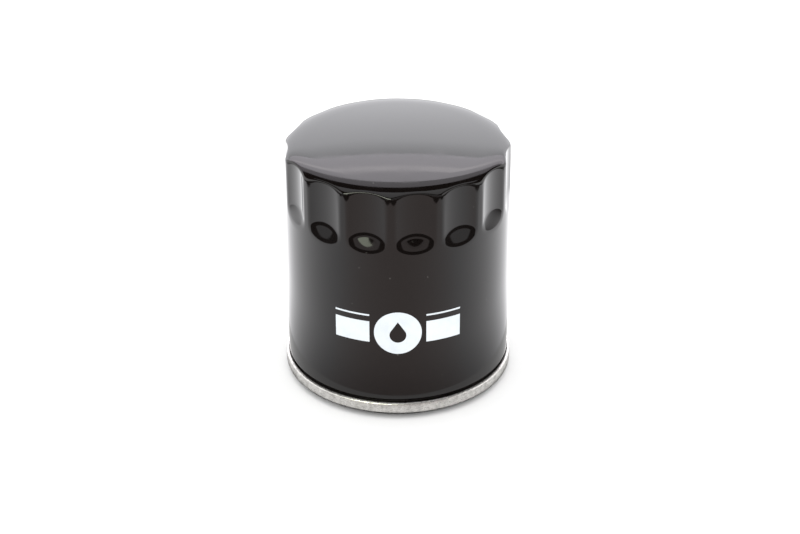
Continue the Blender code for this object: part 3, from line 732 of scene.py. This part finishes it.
def makeBasePlate():
    low, high = plateLow.z, plateHigh.z
    chamferFoot = high - (plate["major"] + plate["leadIn"] - plate["minor"])
    boreFoot = low + plate["mouthDepth"]
    bore = [(plate["minor"], chamferFoot + (boreFoot - chamferFoot) * i / plate["boreRows"])
            for i in range(plate["boreRows"] + 1)]
    corners = [
        (plate["radius"], low, plate["edge"]), (plate["radius"], plate["top"], plate["edge"]),
        (plate["hub"], plate["top"], plate["hubRoot"]), (plate["hub"], high, plate["edge"]),
        (plate["major"] + plate["leadIn"], high),
    ] + bore + [(plate["mouth"], low, plate["mouthEdge"])]
    obj = turnedSolid("base_plate", corners, plate["steps"])
    cutThread(obj, boreFoot)
    for i in range(plate["inlets"]):
        cutInlet(obj, fullTurn * (i + 0.5) / plate["inlets"])
    return obj


def cutThread(obj, foot):
    # a right-hand unified thread: the bore's rows are pushed out into a rounded V along a helix
    places = coords(obj)
    radius = np.hypot(places[:, 0], places[:, 1])
    turn = np.arctan2(places[:, 1], places[:, 0]) / fullTurn
    phase = np.mod(places[:, 2] / plate["pitch"] - turn, 1)
    root, slope = plate["groove"]
    groove = np.clip(root - slope * np.abs(phase - 0.5), 0, 1)
    groove = groove * groove * (3 - 2 * groove) * plate["rootRound"] + groove * (1 - plate["rootRound"])
    inBore = (radius < plate["minor"] + 0.01 * mm) & (places[:, 2] > foot - 0.01 * mm)
    fade = np.clip((places[:, 2] - foot) / plate["runOut"], 0, 1)
    pushOut(obj, places, np.where(inBore, groove * fade * (plate["major"] - plate["minor"]), 0))


def cutInlet(obj, angle):
    # a punched hole with broken edges: the cutter flares at both faces of the plate
    low, high = plateLow.z, plate["top"]
    wide, flare, past = plate["inletRadius"], plate["inletEdge"], 1 * mm
    outline = [
        (0, high + past), (wide + flare + past, high + past), (wide, high - flare),
        (wide, low + flare), (wide + flare + past, low - past), (0, low - past),
    ]
    cutter = drawLine("inlet_cutter", outline)
    spinLine(cutter, plate["inletSteps"])
    cutter.location = (plate["inletCircle"] * math.cos(angle), plate["inletCircle"] * math.sin(angle), 0)
    cutAway(obj, cutter)


print("base plate")
finishPiece(makeBasePlate(), "shell", ["threaded_base_plate"], "plated_steel", zincSteel)


flapLow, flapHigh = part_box("drainback_diaphragm")
diaphragm = {
    "bore": 12.7 * mm,
    "boreEdge": 0.5 * mm,
    "collar": 14.9 * mm,
    "collarEdge": 0.4 * mm,
    "rootBend": 0.2 * mm,
    "rootDrop": 0.3 * mm,
    "flap": 1.2 * mm,
    "bead": 1.4 * mm,
    "beadEdge": 0.45 * mm,
    "ridges": (18.0 * mm, 21.0 * mm, 24.0 * mm),
    "ridgeHeight": 0.25 * mm,
    "ridgeHalf": 0.5 * mm,
    "keep": 0.72,  # height left when the lip is fully lifted
    "steps": 160,
}


def makeDiaphragm():
    low, high = flapLow.z, flapHigh.z
    outer, flap, collar = flapHigh.x, diaphragm["flap"], diaphragm["collar"]
    edge, bend, beadEdge = diaphragm["collarEdge"], diaphragm["rootBend"], diaphragm["beadEdge"]
    root = high - flap * 2 / 3
    slopeTop = root - diaphragm["rootDrop"]
    start, end = collar + flap, outer - diaphragm["bead"]
    drop = slopeTop - (low + flap)
    upper = [(collar, high, edge), (collar, root, bend), (start, slopeTop)]
    for middle in diaphragm["ridges"]:
        for side, rise in ((-1, 0), (0, 1), (1, 0)):
            radius = middle + side * diaphragm["ridgeHalf"]
            fall = drop * (radius - start) / (end - start)
            upper.append((radius, slopeTop - fall + rise * diaphragm["ridgeHeight"]))
    corners = [(diaphragm["bore"], low, diaphragm["boreEdge"]), (diaphragm["bore"], high, edge)] + upper + [
        (end, low + flap, 0.3 * mm), (outer, low + flap, beadEdge),
        (outer, low, beadEdge), (end, low, 0.3 * mm),
        (start, root - flap * 1.25, 0.5 * mm), (collar, root - flap, bend), (collar, low, edge),
    ]
    return turnedSolid("drainback_flap", corners, diaphragm["steps"])


print("diaphragm")
flapPiece = finishPiece(makeDiaphragm(), "shell", ["drainback_diaphragm"], "silicone_rubber", siliconeRubber)
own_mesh(flapPiece)


endCap = {
    "sheet": 0.40 * mm,
    "neck": 13.6 * mm,
    "neckDepth": 3.3 * mm,
    "rimDepth": 4.3 * mm,
    "bend": 0.7 * mm,
    "ribs": (19.0 * mm, 27.0 * mm),
    "ribHeight": 0.35 * mm,
    "ribBend": 0.4 * mm,
    "ribLine": ((-1.2 * mm, 0), (-0.4 * mm, 1), (0.4 * mm, 1), (1.2 * mm, 0)),
    "steps": 240,
}


def makeEndCap(name, face, inward):
    # inward is +1 where the cap's rim points up and -1 where it points down
    half = endCap["sheet"] / 2
    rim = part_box("lower_end_cap")[1].x - half
    level = face + inward * half
    floor = [(endCap["neck"], level, endCap["bend"])]
    for rib in endCap["ribs"]:
        for offset, rise in endCap["ribLine"]:
            floor.append((rib + offset, level + inward * rise * endCap["ribHeight"], endCap["ribBend"]))
    corners = [(endCap["neck"], face + inward * endCap["neckDepth"])] + floor + [
        (rim, level, endCap["bend"]),
        (rim, face + inward * endCap["rimDepth"]),
    ]
    return turnedSheet(name, corners, endCap["sheet"], endCap["steps"])


media = {
    "outer": 31.6 * mm,  # the paper's middle line at its tips
    "inner": 15.85 * mm,
    "sheet": 0.55 * mm,
    "pleats": 45,
    "fold": 0.42 * mm,  # half the width of a fold, to the paper's middle line
    "foldPoints": 4,
    "rows": 30,
    "wander": 0.16 * mm,  # how far a pleat strays sideways part-way up
    "wanderWaves": (2.4, 5, 1.7),
}
potting = {"inner": 14.9 * mm, "outer": 32.4 * mm, "rings": 14, "steps": 360, "swell": 0.12 * mm}


def makePotting(name, node, mediaUp):
    # a cast ring whose paper side has crept up between the pleats in low waves
    low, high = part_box(node)
    faceAt, backAt = (high.z, low.z) if mediaUp else (low.z, high.z)
    width = potting["outer"] - potting["inner"]
    corners = [(potting["inner"], backAt)]
    for i in range(potting["rings"] + 1):
        corners.append((potting["inner"] + width * i / potting["rings"], faceAt))
    corners.append((potting["outer"], backAt))
    obj = turnedSolid(name, corners, potting["steps"])
    places = coords(obj)
    turn = np.arctan2(places[:, 1], places[:, 0])
    onFace = np.abs(places[:, 2] - faceAt) < 0.01 * mm
    wave = potting["swell"] * (1 + np.cos(media["pleats"] * turn)) / 2
    places[:, 2] += np.where(onFace, wave * (1 if mediaUp else -1), 0)
    moveTo(obj, places)
    return obj


def pleatLine():
    # (radius, angle) points of the folds; the straight faces between them need none
    points = []
    for i in range(media["pleats"]):
        tip = fullTurn * i / media["pleats"]
        valley = tip + fullTurn / media["pleats"] / 2
        for middle, radius, side in ((tip, media["outer"], 1), (valley, media["inner"], -1)):
            centre = radius - side * media["fold"]
            for step in range(media["foldPoints"] + 1):
                lean = math.pi * (step / media["foldPoints"] - 0.5) * side
                across = media["fold"] * math.sin(lean) * side
                out = centre + side * media["fold"] * math.cos(lean)
                points.append((out, middle + across / out))
    return points


def makeMedia():
    low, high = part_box("pleated_media")
    line = pleatLine()
    deselectAll()
    bpy.ops.mesh.primitive_circle_add(vertices=len(line), radius=media["outer"], location=(0, 0, low.z))
    obj = bpy.context.object
    obj.name = "pleated_paper"
    bpy.ops.object.transform_apply(location=True)
    editAll()
    drawUp(media["rows"], (high.z - low.z) / media["rows"])
    bpy.ops.object.mode_set(mode="OBJECT")
    places = coords(obj)
    # the circle's points follow one another round it, so each finds its place in the pleat line by angle
    nudge = 0.001  # keeps the first point from counting as the last
    turn = np.mod(np.arctan2(places[:, 1], places[:, 0]) + nudge, fullTurn)
    order = np.round((turn - nudge) / fullTurn * len(line)).astype(int) % len(line)
    radius = np.array([p[0] for p in line])[order]
    angle = np.array([p[1] for p in line])[order]
    up = (places[:, 2] - low.z) / (high.z - low.z)
    pleat = np.round(order / len(line) * media["pleats"])
    a, b, c = media["wanderWaves"]
    stray = media["wander"] * np.sin(math.pi * up) * np.sin(pleat * a + b * up + np.sin(pleat * c))
    angle = angle + stray / radius
    moveTo(obj, np.column_stack((radius * np.cos(angle), radius * np.sin(angle), places[:, 2])))
    tidyMesh(obj)
    applyModifier(obj, "SOLIDIFY", thickness=media["sheet"], offset=0, use_even_offset=True,
                  use_quality_normals=True)
    return obj


clip = {
    "sheet": 0.30 * mm,
    "lip": 0.8 * mm,  # length of the outturned lips
    "throat": 1.4 * mm,
    "throatBend": 0.4 * mm,
    "pinch": 0.25 * mm,
    "bend": 0.5 * mm,
    "rows": 20,
}


def makeClip():
    # a folded steel channel pinched over the paper's joining pleat
    low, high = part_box("media_seam_clip")
    half, pinch = clip["sheet"] / 2, clip["pinch"]
    lip, throat = low.x + clip["lip"], low.x + clip["throat"]
    top, foot = high.y - half, low.y + half
    corners = [
        (low.x, top - pinch), (lip, top - pinch), (throat, top, clip["throatBend"]),
        (high.x - half, top, clip["bend"]), (high.x - half, foot, clip["bend"]),
        (throat, foot, clip["throatBend"]), (lip, foot + pinch), (low.x, foot + pinch),
    ]
    obj = drawLine("paper_clip", rounded(corners))
    # the outline was drawn upright, so it is laid down before it is drawn out to the clip's length
    bpy.ops.object.mode_set(mode="OBJECT")
    places = coords(obj)
    moveTo(obj, np.column_stack((places[:, 0], places[:, 2], np.full(len(places), low.z))))
    editAll()
    drawUp(clip["rows"], (high.z - low.z) / clip["rows"])
    tidyMesh(obj)
    applyModifier(obj, "SOLIDIFY", thickness=clip["sheet"], offset=0, use_even_offset=True)
    return obj


tube = {
    "inner": 14.1 * mm,
    "outer": 14.6 * mm,
    "edge": 0.1 * mm,
    "rows": 5,
    "holes": 8,
    "holeRadius": 2.6 * mm,
    "steps": 144,
}


def makeCentreTube():
    low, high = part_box("centre_tube")
    mediaLow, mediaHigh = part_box("pleated_media")
    corners = squareRing(tube["inner"], tube["outer"], low.z, high.z, tube["edge"], tube["edge"])
    obj = turnedSolid("perforated_tube", corners, tube["steps"])
    deselectAll()
    rowPitch = (mediaHigh.z - mediaLow.z) / tube["rows"]
    cutters = []
    for row in range(tube["rows"]):
        height = mediaLow.z + rowPitch * (row + 0.5)
        for hole in range(tube["holes"]):
            turn = fullTurn * (hole + row % 2 / 2) / tube["holes"]
            spot = (tube["inner"] * math.cos(turn), tube["inner"] * math.sin(turn), height)
            bpy.ops.mesh.primitive_cylinder_add(vertices=32, radius=tube["holeRadius"], depth=4 * mm,
                                                location=spot, rotation=(0, math.pi / 2, turn))
            cutters.append(bpy.context.object)
    cutAway(obj, joinAll(cutters))
    return obj


print("element")
lowerFace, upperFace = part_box("lower_end_cap")[0].z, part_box("upper_end_cap")[1].z
finishPiece(makeEndCap("lower_cap", lowerFace, 1), "element", ["lower_end_cap"], "tinplate", pressedTinplate)
finishPiece(makeEndCap("upper_cap", upperFace, -1), "element", ["upper_end_cap"], "tinplate", pressedTinplate)
for name, node, mediaUp in (("lower_plastisol", "lower_potting", True),
                            ("upper_plastisol", "upper_potting", False)):
    finishPiece(makePotting(name, node, mediaUp), "element", [node], "plastisol", plastisol)
finishPiece(makeMedia(), "element", ["pleated_media"], "filter_paper", filterPaper, sharp=70)
finishPiece(makeClip(), "element", ["media_seam_clip"], "tinplate", pressedTinplate)
finishPiece(makeCentreTube(), "element", ["centre_tube"], "tinplate", pressedTinplate)


cage = {
    "radius": 12.8 * mm,
    "sheet": 0.50 * mm,
    "bore": 1.8 * mm,
    "bend": 0.8 * mm,
    "guide": (4.6 * mm, 4.0 * mm),  # the raised boss round the stem, at its foot and top
    "guideRise": 0.35 * mm,
    "guideBend": 0.3 * mm,
    "windows": 4,
    "windowSize": (4 * mm, 7 * mm, 8 * mm),
    "windowSill": 4.0 * mm,
    "windowCorner": 1.2 * mm,
    "steps": 96,
}


def makeCage():
    low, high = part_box("bypass_cage")
    half = cage["sheet"] / 2
    wall = cage["radius"] - half
    guideFoot, guideTop = cage["guide"]
    boss = low.z + half + cage["guideRise"]
    corners = [
        (high.x, high.z - half), (wall, high.z - half, cage["bend"]), (wall, low.z + half, cage["bend"]),
        (guideFoot, low.z + half, cage["guideBend"]), (guideTop, boss, cage["guideBend"]),
        (cage["bore"], boss),
    ]
    obj = turnedSheet("valve_cage", corners, cage["sheet"], cage["steps"])
    depth, height = cage["windowSize"][0], cage["windowSize"][2]
    middle = low.z + cage["sheet"] + cage["windowSill"] + height / 2
    cutters = []
    for i in range(cage["windows"]):
        turn = fullTurn * i / cage["windows"]
        deselectAll()
        spot = (wall * math.cos(turn), wall * math.sin(turn), middle)
        bpy.ops.mesh.primitive_cube_add(size=1, location=spot, rotation=(0, 0, turn))
        window = bpy.context.object
        window.scale = cage["windowSize"]
        bpy.ops.object.transform_apply(location=False, rotation=False, scale=True)
        bpy.ops.object.mode_set(mode="EDIT")
        shape = bmesh.from_edit_mesh(window.data)
        for edge in shape.edges:
            run = edge.verts[0].co - edge.verts[1].co
            edge.select = abs(run.x) > depth / 2
        bpy.ops.mesh.bevel(offset=cage["windowCorner"], segments=5)
        bpy.ops.object.mode_set(mode="OBJECT")
        cutters.append(window)
    cutAway(obj, joinAll(cutters))
    return obj


seat = {
    "sheet": 0.60 * mm,
    "wall": 11.7 * mm,
    "bend": 0.7 * mm,
    "port": 6.6 * mm,
    "portBend": 0.25 * mm,
    "portLip": 5.9 * mm,
    "lipRise": 0.15 * mm,
}
valve = {
    "bore": 1.8 * mm,  # of the seal and the disc
    "boreEdge": 0.15 * mm,
    "sealEdge": 0.25 * mm,
    "discSheet": 0.60 * mm,
    "discBend": 0.6 * mm,
    "steps": 120,
}


def makeSeat():
    low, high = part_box("bypass_seat")
    half = seat["sheet"] / 2
    corners = [
        (high.x, high.z - half), (seat["wall"], high.z - half, seat["bend"]),
        (seat["wall"], low.z + half, seat["bend"]), (seat["port"], low.z + half, seat["portBend"]),
        (seat["portLip"], low.z + half + seat["lipRise"]),
    ]
    return turnedSheet("valve_seat", corners, seat["sheet"], valve["steps"])


def makeSeal():
    low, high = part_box("bypass_seal")
    corners = squareRing(valve["bore"], high.x, low.z, high.z, valve["boreEdge"], valve["sealEdge"])
    return turnedSolid("valve_seal", corners, valve["steps"])


def makeDisc():
    low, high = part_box("bypass_disc")
    half = valve["discSheet"] / 2
    corners = [
        (valve["bore"], high.z - half), (high.x - half, high.z - half, valve["discBend"]),
        (high.x - half, low.z),
    ]
    return turnedSheet("valve_disc", corners, valve["discSheet"], valve["steps"])


stem = {
    "pin": 1.4 * mm,
    "collar": 2.6 * mm,
    "collarHeight": 0.8 * mm,
    "crown": 0.7,  # share of the head that is domed flat
    "crownRound": 0.5 * mm,
    "headEdge": 0.4 * mm,
    "gap": 0.3 * mm,  # between the stem and what it holds
    "point": 0.7 * mm,
    "steps": 64,
}


def makeStem():
    # a rivet: domed head over the seal, staked collar under the disc, pin with a bullet end
    low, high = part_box("bypass_stem")
    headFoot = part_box("bypass_seal")[1].z + stem["gap"]
    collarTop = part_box("bypass_disc")[1].z - valve["discSheet"] - stem["gap"]
    collarFoot = collarTop - stem["collarHeight"]
    pin, collar, head = stem["pin"], stem["collar"], high.x
    corners = [
        (0, high.z), (head * stem["crown"], high.z, stem["crownRound"]),
        (head, high.z - stem["headEdge"], 0.2 * mm), (head, headFoot, 0.1 * mm), (pin, headFoot), (pin, collarTop),
        (collar, collarTop, 0.2 * mm), (collar, collarFoot, 0.3 * mm), (pin, collarFoot),
        (pin, low.z + stem["point"], 0.5 * mm), (pin / 2, low.z, 0.3 * mm), (0, low.z),
    ]
    obj = drawLine("valve_stem", rounded(corners))
    spinLine(obj, stem["steps"])
    return obj


# radii at the foot and top of a spring's wire line, and the height left when its joint is at its limit
bypassSpring = {"radii": (7.2 * mm, 7.2 * mm), "wire": 1.0 * mm, "turns": 6, "keep": 0.722}
elementSpring = {"radii": (13.85 * mm, 15.05 * mm), "wire": 1.6 * mm, "turns": 3.25, "keep": 0.837}
coil = {"stepsPerTurn": 48, "closedRise": 1.12}  # a closed end turn climbs by this share of the wire


def makeSpring(name, node, spring):
    # closed and ground coil spring: the wire's path is worked out and swept with a round section
    wire, turns, radii = spring["wire"], spring["turns"], spring["radii"]
    low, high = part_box(node)[0].z + wire / 2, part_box(node)[1].z - wire / 2
    endRise = wire * coil["closedRise"]
    pitch = (high - low - 2 * endRise) / (turns - 2)
    data = bpy.data.curves.new(name, "CURVE")
    data.dimensions = "3D"
    data.bevel_depth = wire / 2
    data.bevel_resolution = 4
    data.use_fill_caps = True
    steps = round(turns * coil["stepsPerTurn"])
    spline = data.splines.new("POLY")
    spline.points.add(steps)
    for i, point in enumerate(spline.points):
        turn = turns * i / steps
        if turn < 1:
            height = low + endRise * turn
        elif turn > turns - 1:
            height = high - endRise * (turns - turn)
        else:
            height = low + endRise + pitch * (turn - 1)
        radius = radii[0] + (radii[1] - radii[0]) * turn / turns
        angle = fullTurn * turn
        point.co = (radius * math.cos(angle), radius * math.sin(angle), height, 1)
    obj = bpy.data.objects.new(name, data)
    bpy.context.scene.collection.objects.link(obj)
    pick(obj)
    bpy.ops.object.convert(target="MESH")
    tidyMesh(bpy.context.object)
    return bpy.context.object


print("bypass valve and springs")
finishPiece(makeCage(), "element", ["bypass_cage"], "tinplate", pressedTinplate)
finishPiece(makeSeat(), "element", ["bypass_seat"], "tinplate", pressedTinplate)
finishPiece(makeSeal(), "bypass_valve", ["bypass_seal"], "nitrile_rubber", nitrileRubber)
finishPiece(makeDisc(), "bypass_valve", ["bypass_disc"], "plated_steel", zincSteel)
finishPiece(makeStem(), "bypass_valve", ["bypass_stem"], "plated_steel", zincSteel)

bypassCoil = makeSpring("bypass_coil", "bypass_spring", bypassSpring)
finishPiece(bypassCoil, "element", ["bypass_spring"], "spring_steel", springSteel)
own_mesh(bypassCoil)

elementCoil = makeSpring("element_coil", "element_spring", elementSpring)
finishPiece(elementCoil, "shell", ["element_spring"], "spring_steel", springSteel)
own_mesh(elementCoil)


studio = {
    "floorSize": 8,
    "floorTones": ("#f2f2f2", "#f4f4f4"),
    "skyStrength": 1.55,
    "cameraDistance": 661.4 * mm,
    "cameraRise": math.radians(29.452),
    "cameraAim": (0.75 * mm, 0, 35.6 * mm),
    "cameraRoll": math.radians(0.211),
    "lens": 88.96,
}


def glowMaterial(name, colour, strength):
    # a studio card's even glow
    material = bpy.data.materials.new(name)
    material.use_nodes = True
    tree = material.node_tree
    tree.nodes.remove(tree.nodes["Principled BSDF"])
    glow = addNode(tree, "Emission", {"Color": hexColour(colour), "Strength": strength})
    tree.links.new(glow.outputs[0], tree.nodes["Material Output"].inputs[0])
    return material


def hideCard(card):
    # only reflections see it
    card.visible_camera = False
    card.visible_diffuse = False
    card.visible_shadow = False


def addCard(name, centre, size, facing, colour, strength):
    # a flat card, centred and facing where it is told
    deselectAll()
    bpy.ops.mesh.primitive_plane_add(size=1, location=centre)
    card = bpy.context.object
    card.name = name
    card.scale = (size[0], size[1], 1)
    card.rotation_mode = "QUATERNION"
    card.rotation_quaternion = (Vector(facing) - Vector(centre)).to_track_quat("Z", "Y")
    card.data.materials.append(glowMaterial(name, colour, strength))
    hideCard(card)


def addDisc(name, radius, height, colour, strength):
    deselectAll()
    bpy.ops.mesh.primitive_circle_add(vertices=180, radius=radius, location=(0, 0, height), fill_type="NGON")
    disc = bpy.context.object
    disc.name = name
    disc.data.materials.append(glowMaterial(name, colour, strength))
    hideCard(disc)


def addFloor():
    deselectAll()
    bpy.ops.mesh.primitive_plane_add(size=studio["floorSize"], location=(0, 0, 0))
    floor = bpy.context.object
    floor.name = "studio_floor"
    material, tree, shader, place = newMaterial("matt_white_card", Roughness=0.9, Specular_IOR_Level=0.1)
    mottle = addNode(tree, "TexNoise", {"Scale": 6}, {"Vector": place})
    dark, light = studio["floorTones"]
    tone = addNode(tree, "Mix", {6: hexColour(dark), 7: hexColour(light)}, {0: mottle}, data_type="RGBA")
    feed(tree, shader, {"Base Color": tone.outputs[2]})
    floor.data.materials.append(material)


def addSky():
    world = bpy.data.worlds.new("white_studio")
    bpy.context.scene.world = world
    world.use_nodes = True
    sky = world.node_tree.nodes["Background"]
    sky.inputs["Color"].default_value = hexColour("#ffffff")
    sky.inputs["Strength"].default_value = studio["skyStrength"]


def addCamera():
    data = bpy.data.cameras.new("camera")
    data.lens = studio["lens"]
    data.sensor_width = 36
    camera = bpy.data.objects.new("camera", data)
    rise = studio["cameraRise"]
    aim = Vector(studio["cameraAim"])
    back = Vector((0, -math.cos(rise), math.sin(rise)))
    camera.location = aim + back * studio["cameraDistance"]
    camera.rotation_mode = "QUATERNION"
    level = (-back).to_track_quat("-Z", "Y")
    camera.rotation_quaternion = level @ Matrix.Rotation(-studio["cameraRoll"], 3, "Z").to_quaternion()
    bpy.context.scene.collection.objects.link(camera)
    bpy.context.scene.camera = camera


table = {
    "front": 0.70,
    "back": 2.4,
    "near": (38 * mm, 85 * mm),  # painted shadow of the can: the glow is dimmer close to it
    "canShadowLevel": 0.55,
    "edge": 205 * mm,
    "edgeRun": 6 * mm,
    "gapDepth": 0.96,
    "far": 450 * mm,
    "farRun": 60 * mm,
    "farLevel": 0.55,
    "tints": ("#fff0ed", "#fbfbfd"),  # warm in front, plain all round
}


def addPaintedTableLight():
    # a glowing card seen only in reflections, painted with the lit table's light: dim in front, with a painted
    # shadow of the can close to it, bright behind
    deselectAll()
    bpy.ops.mesh.primitive_plane_add(size=studio["floorSize"], location=(0, 0, 0.2 * mm))
    card = bpy.context.object
    card.name = "painted_table_light"
    material = glowMaterial("painted_table_light", "#fff3f0", 1)
    tree = material.node_tree
    place = addNode(tree, "TexCoord").outputs["Object"]
    axes = addNode(tree, "SeparateXYZ", None, {0: place})
    reach = addNode(tree, "VectorMath", None, {0: place}, operation="LENGTH").outputs["Value"]
    facing = addNode(tree, "Math", None, {0: axes.outputs[1], 1: reach}, operation="DIVIDE")  # -1 in front
    level = addNode(tree, "MapRange", {"From Min": -1, "From Max": 0.75, "To Min": table["front"],
                                       "To Max": table["back"]}, {"Value": facing})
    # painted shadow of the can: the glow dims close to its foot
    near = addNode(tree, "MapRange", {"From Min": table["near"][0], "From Max": table["near"][1],
                                      "To Min": table["canShadowLevel"], "To Max": 1}, {"Value": reach},
                   interpolation_type="SMOOTHSTEP")
    # in front the table ends in a dark gap, with the far floor past it
    front = addNode(tree, "MapRange", {"From Min": 0.6, "From Max": -0.1}, {"Value": facing},
                    interpolation_type="SMOOTHSTEP")
    gap = addNode(tree, "MapRange", {"From Min": table["edge"], "From Max": table["edge"] + table["edgeRun"],
                                     "To Min": 0, "To Max": table["gapDepth"]}, {"Value": reach})
    cut = addNode(tree, "Math", None, {0: gap, 1: front}, operation="MULTIPLY")
    edge = addNode(tree, "Math", {0: 1.0}, {1: cut}, operation="SUBTRACT")
    past = addNode(tree, "MapRange", {"From Min": table["far"], "From Max": table["far"] + table["farRun"],
                                      "To Min": 0, "To Max": table["farLevel"]}, {"Value": reach})
    far = addNode(tree, "Math", None, {0: past, 1: front}, operation="MULTIPLY")
    warmth = addNode(tree, "MapRange", {"From Min": -1, "From Max": -0.6}, {"Value": facing})
    warm, plain = table["tints"]
    tint = addNode(tree, "Mix", {6: hexColour(warm), 7: hexColour(plain)}, {0: warmth}, data_type="RGBA")
    shaded = addNode(tree, "Math", None, {0: level, 1: near}, operation="MULTIPLY")
    total = addNode(tree, "Math", None, {0: shaded, 1: edge, 2: far}, operation="MULTIPLY_ADD")
    feed(tree, tree.nodes["Emission"], {"Color": tint.outputs[2], "Strength": total})
    card.data.materials.append(material)
    hideCard(card)


# the backdrop, low behind the can, and the bank of ceiling light above it, as upright strips:
# name, foot and top as rises in degrees seen from the can's top, colour and strength
backWall = {"distance": 1.5, "width": 3.2}
strips = [("backdrop", 4, 26.2, "#f4f4f8", 3.0)]
strips += [("backdrop_shade_%d" % i, 26.2 + i * 0.6, 26.8 + i * 0.6, "#f4f4f8", 2.95 - 0.14 * i)
           for i in range(6)]
strips += [
    ("backdrop_edge", 29.9, 30.3, "#f6f2fa", 3.3),
    ("lamp_bank", 30.3, 32.8, "#f3eff6", 3.0),
    ("lamp_bank_edge", 32.8, 34.0, "#f6f1f6", 3.6),
    ("upper_wall", 34.0, 37, "#efebf2", 2.8),
    ("dim_above", 37, 43, "#efebf2", 1.1),
    ("dark_above", 43, 52, "#0c0b0c", 1.0),
]


def addStrip(name, low, high, colour, strength):
    distance = backWall["distance"]
    foot, top = [distance * math.tan(math.radians(rise)) + can["crown"] for rise in (low, high)]
    middle = (foot + top) / 2
    addCard(name, (0, distance, middle), (backWall["width"], top - foot), (0, 0, middle), colour, strength)


# the dark room behind the camera with its dim far floor, wall and windows, and the ceiling:
# name, centre, size, the point it faces, colour and strength
cards = [
    ("dark_room", (0, -1.6, 0.9), (5, 2.2), (0, 0, 0.5), "#1c1b1c", 1.0),
    ("room_floor_band", (0, -1.55, 0.02), (4.0, 0.04), (0, 0, 0.02), "#fff3f0", 0.5),
    ("room_wall", (0, -1.5, 0.59), (4.8, 0.52), (0, 0, 0.59), "#fbfbfd", 0.7),
    ("dark_ceiling", (0, 0, 1.75), (5, 3.4), (0, 0, 0), "#0c0b0c", 1.0),
    ("overhead_light", (0, 0, 1.7), (2, 2), (0, 0, 0), "#fbfbfd", 0.9),
    ("window", (-0.69, -1.4, 0.10), (0.24, 0.19), (-0.69, 0, 0.10), "#dfe6d2", 4.4),
    ("high_window", (-0.86, -1.4, 0.62), (1.45, 0.5), (-0.86, 0, 0.62), "#e6ead9", 9.0),
]

print("studio")
addFloor()
addSky()
addCamera()
bpy.context.scene.view_settings.view_transform = "Standard"
for strip in strips:
    addStrip(*strip)
addPaintedTableLight()
for card in cards:
    addCard(*card)
# close in, two discs seen only in reflections: a painted highlight of the bright table under the seam, and a
# painted black contact shadow
addDisc("seam_glow", 49.3 * mm, 0.4 * mm, "#ffffff", 0.8)
addDisc("contact_shadow", 39.6 * mm, 0.6 * mm, "#ffffff", 0.03)
